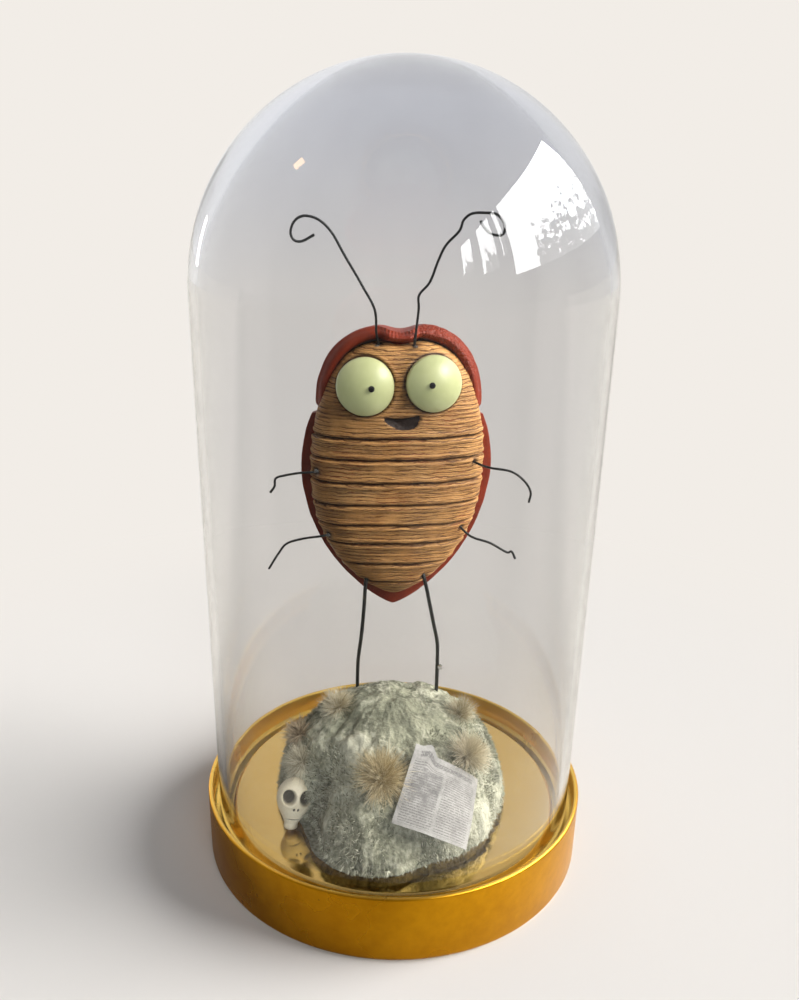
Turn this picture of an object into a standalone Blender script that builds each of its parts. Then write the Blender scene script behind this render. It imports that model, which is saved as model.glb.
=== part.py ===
"""A clay cockroach that stands on a crusted rock under a glass bell, on a spun metal base.

Metres, +Z up. The origin is the centre of the base's underside, and -Y is the front.
Left and right are as seen from the front. The figure is modelled round its own middle, then placed by an
empty that turns and tips it a little, as the handmade one stands.
"""

import math

import bmesh
import bpy
from mathutils import Matrix, Vector, noise

MM = 0.001
GAP = 0.3 * MM

# The spun base: a thin wall with a turned-in foot, a channel for the glass and a raised floor, open below.
BASE_RADIUS = 60 * MM
BASE_HEIGHT = 22.7 * MM
SHEET = 1.4 * MM
CHANNEL_Z = 16 * MM
FLOOR_Z = 18.2 * MM
FLOOR_RADIUS = 52 * MM
FLOOR_EDGE = 1.2 * MM
WALL_CORNER = 1 * MM
FOOT_ROUND = 2 * MM
FOOT_WIDTH = 3 * MM

# The bell: a straight cylinder with a half round top.
GLASS_RADIUS = 56.5 * MM
GLASS_WALL = 2.3 * MM
GLASS_SHOULDER_Z = 175.2 * MM

# The rock: a dome over a low skirt that draws in to its foot, with a bulge to the front and beside it a
# niche where the skull bead stands.
MOUND_MIDDLE = Vector((-1 * MM, -7 * MM, FLOOR_Z + GAP))
MOUND_RADIUS = 37 * MM
MOUND_HEIGHT = 35.2 * MM
SKIRT_HEIGHT = 3 * MM
SKIRT_DRAW = 2.5 * MM
BULGE_BEARING = math.radians(252)
BULGE_WIDTH = math.radians(32)
BULGE_SHARE = 0.14
NICHE_BEARING = math.radians(208)
NICHE_WIDTH = math.radians(14)
NICHE_SHARE = 0.1

# The figure's middle, its turn to the right and its tip to the right.
FIGURE_MIDDLE = Vector((-0.8 * MM, 0, 125 * MM))
FIGURE_TURN = math.radians(5)
FIGURE_TIP = math.radians(0.5)

# Belly and head, from the figure's middle.
BODY_WIDEST_Z = 3 * MM
BODY_TOP_Z = 38 * MM
BODY_TAIL_Z = -37.3 * MM
BODY_HALF_WIDTH = 24.7 * MM
BODY_FRONT = 9.5 * MM
BODY_BACK = 3 * MM
BODY_SLANT = 0.02
HEAD_DIP = 1.3 * MM
HEAD_DIP_WIDTH = 3.5 * MM
GROOVE_LEVELS = [z * MM for z in (12.3, 6.3, -0.4, -6.9, -13, -18.8, -25.6, -32.1)]
GROOVE_HALF_WIDTH = 0.6 * MM
GROOVE_DEPTH = 1.2 * MM

# The hood round the head, and the wing cases under it.
HOOD_WIDEST_Z = 21 * MM
HOOD_TOP_Z = 42.3 * MM
HOOD_SLANT = 0.03
HOOD_FOOT_Z = 17.5 * MM
HOOD_HALF_WIDTH = 23.3 * MM
HOOD_FRONT = 2.5 * MM
HOOD_BACK = 8.5 * MM
HOOD_MIDDLE_Y = 0.5 * MM
HOOD_DIP = 1.6 * MM
HOOD_DIP_WIDTH = 4 * MM
CASES_WIDEST_Z = 2 * MM
CASES_TOP_Z = HOOD_FOOT_Z - GAP
CASES_RISE = 33 * MM
CASES_TIP_Z = -41.7 * MM
CASES_HALF_WIDTH = 27.4 * MM
CASES_FRONT = 1.4 * MM
CASES_BACK = 7 * MM
CASES_MIDDLE_Y = 1.6 * MM
CASES_SEAM = 0.8 * MM

# The face. An eye is a side, a radius, its middle from the figure's, its tilt up and its turn outwards in
# degrees, and the pupil's place across and up its dome.
EYES = (
    ("left", 7.9, (-9.8, -6.9, 26.5), (-4, -8), (2.1, 0.1)),
    ("right", 7.7, (8.6, -7.0, 27.5), (-5, 8), (-1.6, 0.1)),
)
EYE_DOME = 3.4 * MM
EYE_BAND = 1.6 * MM
PUPIL_RADIUS = 0.85 * MM
PUPIL_LIFT = 0.3 * MM
MOUTH_WIDTH = 9.4 * MM
MOUTH_DROP = 3.8 * MM
MOUTH_THICKNESS = 1.4 * MM
MOUTH_MIDDLE = Vector((0.1, -8.6, 18.7)) * MM
MOUTH_TILT = math.radians(-3)

# The wires.
THIN_WIRE = 0.65 * MM
LEG_WIRE = 1.0 * MM

# The skull bead, pear shaped with a small chin, which leans back on the rock.
SKULL_HEIGHT = 16.2 * MM
SKULL_HALF_WIDTH = 5.5 * MM
SKULL_WIDEST = 0.38
SKULL_THROAT = 0.78
CHIN_SHARE = 0.36
SOCKET_SPREAD = 2.45 * MM
SOCKET_RADIUS = 1.9 * MM
SKULL_FOOT = Vector((-32.2, -25.7, 19.3)) * MM
SKULL_LEAN = [math.radians(angle) for angle in (-18, 13, 12)]

# The newspaper: a sheet bent round a line that runs aslant in its plane.
PAPER_WIDTH = 22.5 * MM
PAPER_HEIGHT = 23.5 * MM
PAPER_THICKNESS = 0.25 * MM
PAPER_BEND_RADIUS = 32 * MM
PAPER_BEND_SLANT = math.radians(116)
PAPER_MIDDLE = Vector((13.6, -37.4, 41.2)) * MM
PAPER_LEAN = [math.radians(angle) for angle in (-50, 26, 2)]

# Each tuft's place on the rock, as a share of the way from crest to rim and a bearing, its radius and height.
TUFTS = (
    (0.30, 178, 3.8, 5), (0.56, 186, 3.2, 4.5), (0.64, 207, 4.4, 5),
    (0.51, 265, 7.2, 6), (0.51, 325, 5.8, 5.5), (0.36, 3, 4.4, 5),
)
TUFT_SINK = 0.1

for old in list(bpy.data.objects):
    bpy.data.objects.remove(old)
parts = bpy.data.collections.new("insect_in_glass_dome")
cutters = bpy.data.collections.new("cutters")
bpy.context.scene.collection.children.link(parts)
bpy.context.scene.collection.children.link(cutters)

figure = bpy.data.objects.new("figure", None)
figure.location = FIGURE_MIDDLE
figure.rotation_euler = (0, FIGURE_TIP, FIGURE_TURN)
parts.objects.link(figure)


def finish_of(name, colour, roughness, metallic=0.0, clear=0.0):
    made = bpy.data.materials.new(name)
    made.use_nodes = True
    shader = made.node_tree.nodes["Principled BSDF"]
    shader.inputs["Base Color"].default_value = (*colour, 1)
    shader.inputs["Roughness"].default_value = roughness
    shader.inputs["Metallic"].default_value = metallic
    shader.inputs["Transmission Weight"].default_value = clear
    made.diffuse_color = (*colour, 1)
    return made


BRASS = finish_of("polished_brass", (0.72, 0.47, 0.13), 0.18, metallic=1.0)
GLASS = finish_of("clear_glass", (0.95, 0.97, 0.97), 0.0, clear=1.0)
CRUST = finish_of("grey_green_crust", (0.36, 0.39, 0.33), 0.95)
DRY_GRASS = finish_of("dry_grass", (0.47, 0.39, 0.27), 0.9)
BONE = finish_of("cream_stone", (0.72, 0.68, 0.57), 0.5)
PAPER = finish_of("printed_paper", (0.66, 0.64, 0.63), 0.85)
TAN_CLAY = finish_of("tan_clay", (0.60, 0.36, 0.17), 0.6)
RED_CLAY = finish_of("red_brown_clay", (0.30, 0.06, 0.035), 0.45)
DARK_CLAY = finish_of("dark_brown_clay", (0.045, 0.025, 0.02), 0.3)
EYE_GREEN = finish_of("pale_green_eye", (0.62, 0.68, 0.34), 0.15)
BLACK_BEAD = finish_of("black_bead", (0.01, 0.01, 0.01), 0.1)
BLACK_WIRE = finish_of("black_wire", (0.012, 0.012, 0.014), 0.4)


def object_of(name, shape, finish, collection=parts, parent=None):
    """An object that takes over the bmesh."""
    mesh = bpy.data.meshes.new(name)
    shape.to_mesh(mesh)
    shape.free()
    mesh.materials.append(finish)
    mesh.shade_smooth()
    mesh.set_sharp_from_angle(angle=math.radians(35))
    made = bpy.data.objects.new(name, mesh)
    made.parent = parent
    collection.objects.link(made)
    if collection == cutters:
        made.hide_render = True
        made.display_type = "WIRE"
    return made


def turned(name, profile, steps, finish, collection=parts, parent=None):
    """A profile of (radius, height) pairs, top to bottom on its outer side, turned about Z."""
    shape = bmesh.new()
    corners = [shape.verts.new((radius, 0, height)) for radius, height in profile]
    for start, end in zip(corners, corners[1:]):
        shape.edges.new((start, end))
    made = object_of(name, shape, finish, collection, parent)
    screw = made.modifiers.new("turn", "SCREW")
    screw.steps = screw.render_steps = steps
    screw.use_merge_vertices = True
    screw.merge_threshold = 0.00001
    screw.use_smooth_shade = True
    return made


def arc(middle, radius, start, end, count):
    """Points (radius, height) on an arc in a profile, with angles in degrees from the outward direction."""
    angles = [math.radians(start + (end - start) * i / (count - 1)) for i in range(count)]
    return [(middle[0] + radius * math.cos(a), middle[1] + radius * math.sin(a)) for a in angles]


def shaped_ball(name, levels, sides, point_at, finish, collection=parts, parent=None):
    """A ball whose rings, top pole to bottom pole, are moved to point_at(level, angle)."""
    shape = bmesh.new()
    bmesh.ops.create_uvsphere(shape, u_segments=sides, v_segments=len(levels) - 1, radius=1)
    for corner in shape.verts:
        polar = math.acos(max(-1.0, min(1.0, corner.co.z)))
        level = levels[round(polar / math.pi * (len(levels) - 1))]
        corner.co = point_at(level, math.atan2(corner.co.y, corner.co.x))
    return object_of(name, shape, finish, collection, parent)


def cut(piece, *tools):
    for tool in tools:
        boolean = piece.modifiers.new(f"cut by {tool.name}", "BOOLEAN")
        boolean.operation = "DIFFERENCE"
        boolean.object = tool


def smooth_route(points, count):
    """Evenly counted points on a Catmull-Rom curve through the given ones."""
    ends = [2 * points[0] - points[1], *points, 2 * points[-1] - points[-2]]
    route = []
    for i in range(count):
        along = i / (count - 1) * (len(points) - 1)
        k = min(int(along), len(points) - 2)
        t = along - k
        a, b, c, d = ends[k : k + 4]
        route.append(
            b + 0.5 * t * ((c - a) + t * ((2 * a - 5 * b + 4 * c - d) + t * (3 * (b - c) + d - a)))
        )
    return route


def wire(name, points, diameter, count):
    """A bent wire through points in millimetres, in the object's own frame."""
    route = smooth_route([Vector(point) * MM for point in points], count)
    curve = bpy.data.curves.new(name, "CURVE")
    curve.dimensions = "3D"
    curve.bevel_depth = diameter / 2
    curve.bevel_resolution = 2
    curve.use_fill_caps = True
    line = curve.splines.new("POLY")
    line.points.add(count - 1)
    for knot, place in zip(line.points, route):
        knot.co = (*place, 1)
    line.use_smooth = True
    curve.materials.append(BLACK_WIRE)
    made = bpy.data.objects.new(name, curve)
    parts.objects.link(made)
    return made


def bore(name, inner, outer, diameter):
    """A cutter for the hole that a wire's end stands in, from inner out past outer, in millimetres."""
    inner, outer = Vector(inner) * MM, Vector(outer) * MM
    along = (outer - inner).normalized()
    length = (outer - inner).length + GAP
    shape = bmesh.new()
    bmesh.ops.create_cone(
        shape,
        cap_ends=True,
        segments=8,
        radius1=diameter / 2 + GAP,
        radius2=diameter / 2 + GAP,
        depth=length,
        matrix=Matrix.Translation(inner - along * GAP + along * length / 2)
        @ along.to_track_quat("Z", "Y").to_matrix().to_4x4(),
    )
    return object_of(name, shape, BLACK_WIRE, cutters)


def bow(share, power, root):
    """Half width of a rounded outline, 1 at its widest and 0 at its end, where share is 1."""
    return (1 - min(1.0, abs(share)) ** power) ** root


def section(half_width, front, back, angle, power=2.3):
    """A point on a rounded cross-section: x across, y to the back."""
    across = math.copysign(abs(math.cos(angle)) ** (2 / power), math.cos(angle))
    depth = math.copysign(abs(math.sin(angle)) ** (2 / power), math.sin(angle))
    return half_width * across, depth * (back if depth > 0 else front)


def body_point(z, angle, grow=0.0):
    """A point of the belly and head, or of the same form without grooves and grown all round."""
    top, tail = BODY_TOP_Z - BODY_WIDEST_Z, BODY_WIDEST_Z - BODY_TAIL_Z
    share = (z - BODY_WIDEST_Z) / (top if z > BODY_WIDEST_Z else tail)
    width = bow(share, 2, 0.34) if z > BODY_WIDEST_Z else bow(share, 2.4, 0.72)
    inset = GROOVE_DEPTH if z in GROOVE_LEVELS and not grow else 0.0
    half_width = max(0.0, BODY_HALF_WIDTH * width - 0.6 * inset)
    front = max(0.0, BODY_FRONT * width**0.7 - inset)
    x, y = section(half_width, front, BODY_BACK * width**0.5, angle)
    dip = HEAD_DIP * math.exp(-((x / HEAD_DIP_WIDTH) ** 2)) * max(0.0, share) ** 8
    around = grow if width > 0 else 0.0
    away = Vector((around * math.cos(angle), around * math.sin(angle), grow * share))
    return Vector((x, y, z + BODY_SLANT * x - dip)) + away


def even_levels(top, bottom, count):
    """Heights from top to bottom that lie closer together near both ends."""
    middle, half = (top + bottom) / 2, (top - bottom) / 2
    return [middle + half * math.cos(math.pi * i / (count - 1)) for i in range(count)]


def body_levels(grooved):
    """Ring heights from the head's top to the tail, three to a groove or one in its place."""
    levels = [BODY_TOP_Z - drop * MM for drop in (0, 0.3, 1.5, 4, 8.5, 15, 21)]
    for level in GROOVE_LEVELS:
        levels += [level + GROOVE_HALF_WIDTH, level, level - GROOVE_HALF_WIDTH] if grooved else [level]
    return levels + [BODY_TAIL_Z + rise * MM for rise in (2.4, 0.7, 0)]


def hood_point(z, angle):
    rise, fall = HOOD_TOP_Z - HOOD_WIDEST_Z, HOOD_WIDEST_Z - HOOD_FOOT_Z
    share = (z - HOOD_WIDEST_Z) / (rise if z > HOOD_WIDEST_Z else fall)
    width = bow(share, 1.95, 0.35) if z > HOOD_WIDEST_Z else bow(share, 2.5, 0.2)
    x, y = section(HOOD_HALF_WIDTH * width, HOOD_FRONT * width**0.6, HOOD_BACK * width**0.7, angle)
    dip = HOOD_DIP * math.exp(-((x / HOOD_DIP_WIDTH) ** 2)) * max(0.0, share) ** 6
    return Vector((x, y + HOOD_MIDDLE_Y, z + HOOD_SLANT * x * max(0.0, share) - dip))


def cases_point(z, angle):
    """A point of the wing cases, which are cut off flat at the top and bulge on both sides of a seam."""
    if z >= CASES_TOP_Z:
        return Vector((0, CASES_MIDDLE_Y, z))
    rise = CASES_RISE if z > CASES_WIDEST_Z else CASES_WIDEST_Z - CASES_TIP_Z
    share = (z - CASES_WIDEST_Z) / rise
    width = bow(share, 2, 0.5) if z > CASES_WIDEST_Z else bow(share, 2, 0.77)
    x, y = section(CASES_HALF_WIDTH * width, CASES_FRONT * width**0.4, CASES_BACK * width**0.7, angle)
    seam = CASES_SEAM * width * max(0.0, math.sin(angle)) ** 12
    return Vector((x, y + CASES_MIDDLE_Y - seam, z))


def swell(angle, bearing, width):
    """1 at the bearing, falling off to both sides of it."""
    off = (angle - bearing + math.pi) % math.tau - math.pi
    return math.exp(-((off / width) ** 2))


def mound_point(share, angle):
    """share is 0 at the crest, 1 at the widest ring, 2 at the foot and 3 in the middle of the underside."""
    if share > 2:
        return MOUND_MIDDLE.copy()
    low = min(share, 1.0)
    out = math.sin(low * math.pi / 2) ** (0.95 - 0.08 * math.cos(angle))
    up = max(0.0, math.cos(low * math.pi / 2)) ** 0.9
    bulge = BULGE_SHARE * swell(angle, BULGE_BEARING, BULGE_WIDTH)
    niche = NICHE_SHARE * swell(angle, NICHE_BEARING, NICHE_WIDTH)
    reach = MOUND_RADIUS * out * (1 + (bulge - niche) * low**2)
    height = SKIRT_HEIGHT + (MOUND_HEIGHT - SKIRT_HEIGHT) * up
    point = Vector((math.cos(angle) * reach, math.sin(angle) * reach, height))
    lump = noise.noise(point / (14 * MM) + Vector((3.1, 0.7, 5.2)))
    point += point.normalized() * lump * 1.8 * MM
    if share > 1:
        point = Vector((point.x, point.y, 0)) * (1 - SKIRT_DRAW / MOUND_RADIUS)
    return MOUND_MIDDLE + point


def build_base():
    rim, inner, foot_inner = SHEET / 2, BASE_RADIUS - SHEET, BASE_RADIUS - FOOT_WIDTH
    profile = [(0, FLOOR_Z), (FLOOR_RADIUS - FLOOR_EDGE, FLOOR_Z), (FLOOR_RADIUS, FLOOR_Z - 0.4 * FLOOR_EDGE)]
    profile += [(FLOOR_RADIUS + 0.5 * FLOOR_EDGE, CHANNEL_Z), (inner - WALL_CORNER, CHANNEL_Z)]
    profile += [(inner, CHANNEL_Z + WALL_CORNER)]
    profile += arc((BASE_RADIUS - rim, BASE_HEIGHT - rim), rim, 180, 0, 4)
    profile += arc((BASE_RADIUS - FOOT_ROUND, FOOT_ROUND), FOOT_ROUND, 0, -90, 3)
    profile += [(foot_inner, 0), (foot_inner, SHEET), (inner, SHEET + WALL_CORNER)]
    profile += [(inner, CHANNEL_Z - SHEET), (FLOOR_RADIUS, CHANNEL_Z - SHEET)]
    profile += [(FLOOR_RADIUS - SHEET - FLOOR_EDGE / 2, FLOOR_Z - SHEET), (0, FLOOR_Z - SHEET)]
    turned("base_tray", profile, 36, BRASS)


def build_bell():
    foot = CHANNEL_Z + GAP
    inner = GLASS_RADIUS - GLASS_WALL
    shoulder = (0, GLASS_SHOULDER_Z)
    profile = arc(shoulder, GLASS_RADIUS, 90, 0, 7)
    profile += arc((GLASS_RADIUS - GLASS_WALL / 2, foot + GLASS_WALL / 2), GLASS_WALL / 2, 0, -180, 4)
    profile += arc(shoulder, inner, 0, 90, 7)
    turned("glass_dome", profile, 36, GLASS)


def build_mound(leg_feet, skull_room):
    shares = [i / 10 for i in range(11)] + [2, 3]
    mound = shaped_ball("mound", shares, 28, mound_point, CRUST)
    for name, inner, outer in leg_feet:
        cut(mound, bore(f"hole for {name} in mound", inner, outer, LEG_WIRE))
    cut(mound, skull_room)


def build_tuft(name, share, angle, radius, height):
    """A burst of dry blades: a narrow foot that flares to a spiky rim, with a domed top."""
    foot = mound_point(share, angle)
    step = 0.02
    along = mound_point(share + step, angle) - mound_point(share - step, angle)
    across = mound_point(share, angle + step) - mound_point(share, angle - step)
    normal = along.cross(across).normalized()
    rings = [(0, 1), (0.5, 0.95), (1, 0.62), (0.7, 0.3), (0.22, 0.06), (0, 0.04)]

    def point_at(ring, turn):
        reach, rise = rings[ring]
        spike = 1.0 if round(turn / (math.pi / 6)) % 2 else 0.78
        out = reach * radius * spike
        return Vector((out * math.cos(turn), out * math.sin(turn), rise * height * (0.8 + 0.2 * spike)))

    tuft = shaped_ball(name, range(len(rings)), 12, point_at, DRY_GRASS)
    tuft.location = foot + normal * (GAP + 0.2 * MM + TUFT_SINK * radius)
    tuft.rotation_mode = "QUATERNION"
    tuft.rotation_quaternion = normal.to_track_quat("Z", "Y")


def skull_point(drop, angle, grow=0.0):
    """A point of the skull bead, where drop runs from 0 at its crown to 1 under its chin."""
    below = (drop - SKULL_WIDEST) / (SKULL_THROAT - SKULL_WIDEST)
    if drop in (0, 1):
        width = 0.0
    elif below < 0:
        width = bow((SKULL_WIDEST - drop) / SKULL_WIDEST, 2, 0.5)
    else:
        width = CHIN_SHARE + (1 - CHIN_SHARE) * math.cos(min(1.0, below) * math.pi / 2) ** 1.2
    deep = 1.15 if math.sin(angle) > 0 else 0.85
    half = SKULL_HALF_WIDTH * width + (grow if width > 0 else 0.0)
    height = SKULL_HEIGHT * (1 - drop) + grow * (1 - 2 * drop)
    return Vector((half * math.cos(angle), half * deep * math.sin(angle), height))


def build_skull():
    """The bead with its sockets, nostrils and mouth slit cut in; returns the room that it takes up."""
    drops = [0, 0.03, 0.12, 0.25, 0.4, 0.55, 0.66, 0.78, 0.94, 0.99, 1]
    skull = shaped_ball("skull_bead", drops, 12, skull_point, BONE)
    room = shaped_ball("skull and its gap", drops, 12, lambda d, a: skull_point(d, a, GAP), BONE, cutters)
    face = -0.85 * SKULL_HALF_WIDTH
    hollows = [
        (side * SOCKET_SPREAD, face + 0.5 * MM, 0.63, SOCKET_RADIUS, SOCKET_RADIUS * 1.2) for side in (-1, 1)
    ]
    hollows += [(side * 0.6 * MM, face + 1 * MM, 0.38, 0.35 * MM, 0.45 * MM) for side in (-1, 1)]
    hollows.append((0, face + 2.4 * MM, 0.16, 1.3 * MM, 0.3 * MM))
    tools = []
    for count, (across, deep, share, half_width, half_height) in enumerate(hollows):
        hollow = bmesh.new()
        bmesh.ops.create_uvsphere(
            hollow,
            u_segments=8,
            v_segments=5,
            radius=1,
            matrix=Matrix.Translation((across, deep, share * SKULL_HEIGHT))
            @ Matrix.Diagonal((half_width, 1.5 * MM, half_height, 1)),
        )
        tools.append(object_of(f"skull hollow {count}", hollow, BONE, cutters))
    cut(skull, *tools)
    for piece in [skull, room, *tools]:
        piece.location = SKULL_FOOT
        piece.rotation_euler = SKULL_LEAN
    return room


def build_newspaper():
    """A sheet with its middle at the object's origin, bent away from the reader round one line."""
    shape = bmesh.new()
    bmesh.ops.create_grid(shape, x_segments=6, y_segments=6, size=0.5)
    cos, sin = math.cos(PAPER_BEND_SLANT), math.sin(PAPER_BEND_SLANT)
    for corner in shape.verts:
        x, z = corner.co.x * PAPER_WIDTH, corner.co.y * PAPER_HEIGHT
        along, across = x * cos + z * sin, z * cos - x * sin
        turn = across / PAPER_BEND_RADIUS
        across = PAPER_BEND_RADIUS * math.sin(turn)
        corner.co.x = along * cos - across * sin
        corner.co.y = PAPER_BEND_RADIUS * (1 - math.cos(turn))
        corner.co.z = along * sin + across * cos
    paper = object_of("newspaper", shape, PAPER)
    paper.location = PAPER_MIDDLE
    paper.rotation_euler = PAPER_LEAN
    wall = paper.modifiers.new("thickness", "SOLIDIFY")
    wall.thickness = PAPER_THICKNESS
    wall.offset = 0


def flat_mouth(name, grow, thickness, collection):
    """The smile as a flat slab: an almost straight top and a round lower edge."""
    half, drop = MOUTH_WIDTH / 2 + grow, MOUTH_DROP + 2 * grow
    curve = bpy.data.curves.new(name, "CURVE")
    curve.dimensions = "2D"
    curve.fill_mode = "BOTH"
    curve.extrude = thickness / 2
    turns = [math.pi * i / 10 for i in range(11)]
    edge = [(-half * math.cos(t), grow - drop * math.sin(t) ** 0.8) for t in turns]
    edge += [(half * 0.5, grow - 0.35 * MM), (0, grow - 0.5 * MM), (-half * 0.5, grow - 0.35 * MM)]
    line = curve.splines.new("POLY")
    line.use_cyclic_u = True
    line.points.add(len(edge) - 1)
    for knot, (x, z) in zip(line.points, edge):
        knot.co = (x, z, 0, 1)
    drawn = bpy.data.objects.new(f"{name} outline", curve)
    bpy.context.scene.collection.objects.link(drawn)
    graph = bpy.context.evaluated_depsgraph_get()
    shape = bmesh.new()
    shape.from_mesh(bpy.data.meshes.new_from_object(drawn.evaluated_get(graph)))
    bmesh.ops.remove_doubles(shape, verts=shape.verts, dist=0.00001)
    bpy.data.objects.remove(drawn)
    return object_of(name, shape, DARK_CLAY, collection, figure)


def build_figure(holes):
    body = shaped_ball("body", body_levels(True), 20, body_point, TAN_CLAY, parent=figure)
    hollow = shaped_ball(
        "body and its gap",
        body_levels(False),
        20,
        lambda z, angle: body_point(z, angle, GAP),
        TAN_CLAY,
        cutters,
        figure,
    )
    hood_levels = even_levels(HOOD_TOP_Z, HOOD_FOOT_Z, 11)
    hood = shaped_ball("pronotum", hood_levels, 24, hood_point, RED_CLAY, parent=figure)
    cases_levels = [CASES_TOP_Z, CASES_TOP_Z - GAP, *even_levels(CASES_TOP_Z - 2 * MM, CASES_TIP_Z, 12)]
    cases = shaped_ball("wing_cases", cases_levels, 24, cases_point, RED_CLAY, parent=figure)
    cut(hood, hollow)
    cut(cases, hollow)
    for side, radius, middle, tilt, pupil in EYES:
        build_eye(body, side, radius * MM, Vector(middle) * MM, tilt, Vector(pupil) * MM)
    mouth = flat_mouth("mouth", 0.0, MOUTH_THICKNESS, parts)
    recess = flat_mouth("mouth and its gap", GAP, MOUTH_THICKNESS + 2 * GAP, cutters)
    for piece in (mouth, recess):
        piece.location = MOUTH_MIDDLE
        piece.rotation_euler = (math.radians(90), MOUTH_TILT, 0)
    cut(body, recess, *holes)


def build_eye(body, side, radius, middle, tilt, pupil):
    """A domed disc sunk a little in the head, with a bead in a dimple of its dome."""
    ball = (radius**2 + EYE_DOME**2) / (2 * EYE_DOME)
    edge = math.degrees(math.asin((ball - EYE_DOME) / ball))
    profile = arc((0, EYE_BAND + EYE_DOME - ball), ball, 90, edge, 5)
    profile += [(radius, 0.4 * MM), (radius - 0.4 * MM, 0), (0, 0)]
    eye = turned(f"eye_{side}", profile, 20, EYE_GREEN, parent=figure)
    seat = [(0, radius), (radius + GAP, radius), (radius + GAP, -GAP), (0, -GAP)]
    socket = turned(f"socket of eye_{side}", seat, 20, EYE_GREEN, cutters, figure)
    height = EYE_BAND + EYE_DOME - ball + math.sqrt(ball**2 - pupil.length_squared)
    place = Vector((*pupil, height + PUPIL_LIFT))
    pieces = []
    for name, size, collection in (
        (f"pupil_{side}", PUPIL_RADIUS, parts),
        (f"dimple of pupil_{side}", PUPIL_RADIUS + GAP, cutters),
    ):
        shape = bmesh.new()
        bmesh.ops.create_uvsphere(
            shape, u_segments=8, v_segments=6, radius=size, matrix=Matrix.Translation(place)
        )
        pieces.append(object_of(name, shape, BLACK_BEAD, collection, figure))
    for piece in [eye, socket, *pieces]:
        piece.location = middle
        piece.rotation_euler = (math.radians(90 + tilt[0]), 0, math.radians(tilt[1]))
    cut(eye, pieces[1])
    cut(body, socket)


# Each wire's route in millimetres, chosen by hand: its first two points lie on the line of its bore.
ANTENNAE = {
    "antenna_left": [
        (-6.0, -3.2, 160.5), (-7.0, -3.8, 165), (-7.5, -4.2, 172), (-10.8, -5, 178.6), (-15.2, -6, 186.3),
        (-18.5, -6.8, 192), (-21.8, -7.5, 195), (-25.4, -8, 195.8), (-27.8, -8.2, 194.5),
        (-28.8, -8.2, 191.9), (-27.9, -8, 190), (-25.9, -7.6, 189.8), (-22.9, -7, 191.4),
    ],
    "antenna_right": [
        (3.1, -3.2, 160.5), (3.5, -3.8, 165), (4.1, -4.2, 172.3), (4.1, -4.6, 176.3), (6.8, -5.2, 179.9),
        (8.8, -6, 185.5), (10.6, -6.6, 189.4), (13.8, -7.2, 192.9), (14.8, -7.6, 195.5), (16.8, -8, 197),
        (20, -8.2, 197.2), (23.1, -8.2, 196.8), (25, -8, 194.5), (24.7, -7.6, 192.2), (22.2, -7.2, 192.2),
        (20.2, -7, 193.6), (19, -7, 195.4),
    ],
}
ARMS = {
    "arm_upper_left": [
        (-19.5, -3.6, 127), (-24.5, -6.2, 126.8), (-28, -6.6, 126.6), (-32, -6.8, 125.9), (-34.8, -7, 125),
        (-35.2, -7.2, 122.7), (-36.4, -7.4, 120.9),
    ],
    "arm_upper_right": [
        (20, -3.2, 130.2), (24.8, -5.6, 129), (31, -6.4, 128.2), (34.8, -7, 125.8), (36.9, -7.2, 122.6),
        (36.6, -7.4, 119.5),
    ],
    "arm_lower_left": [
        (-16.5, -3.6, 108.5), (-21.5, -5.8, 107.6), (-27.4, -6.4, 106.8), (-32.2, -6.8, 105.3),
        (-34.7, -7, 102.2), (-37.6, -7.4, 97.5),
    ],
    "arm_lower_right": [
        (16.5, -2.8, 111.5), (20.8, -5.2, 108.2), (26.5, -5.8, 106.4), (31.4, -6.2, 103.8),
        (32.8, -6.4, 104.1), (34, -6.8, 102),
    ],
}
LEGS = {
    "leg_left": [
        (-8.2, -2.2, 97.3), (-9.4, -4.2, 92.3), (-9.9, -3.2, 84), (-10.7, -1.5, 74), (-11.8, 1.2, 64),
        (-12.1, 2.6, 57), (-12.2, 3.6, 52), (-12.3, 4.2, 48.5),
    ],
    "leg_right": [
        (6.6, -2.2, 97.5), (8.3, -4.0, 92.6), (9.7, -3.0, 86), (11.3, -1.4, 78), (12.8, 0.6, 70),
        (13.1, 2.2, 61), (13.2, 3.4, 54), (13.2, 4.0, 50), (13.2, 4.4, 45.5),
    ],
}

body_holes = []
feet = []
for routes, thickness, knots in ((ANTENNAE, THIN_WIRE, 21), (ARMS, THIN_WIRE, 8), (LEGS, LEG_WIRE, 10)):
    for wire_name, knees in routes.items():
        wire(wire_name, knees, thickness, knots)
        body_holes.append(bore(f"hole for {wire_name}", knees[0], knees[1], thickness))
        if routes is LEGS:
            feet.append((wire_name, knees[-1], knees[-3]))

build_base()
build_bell()
build_mound(feet, build_skull())
for count, (share, bearing, spread, blades) in enumerate(TUFTS, 1):
    build_tuft(f"grass_tuft_{count}", share, math.radians(bearing), spread * MM, blades * MM)
build_newspaper()
build_figure(body_holes)
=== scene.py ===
"""The finish of a clay cockroach that stands on a crusted rock under a glass bell.

Metres, +Z up. The origin is the centre of the base's underside, and -Y is the front. Left and right are as
seen from the front. The sections follow the object as it is put together, from the base up.
"""

import math
import random

import bpy
from mathutils import Euler, Matrix, Vector, noise


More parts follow.
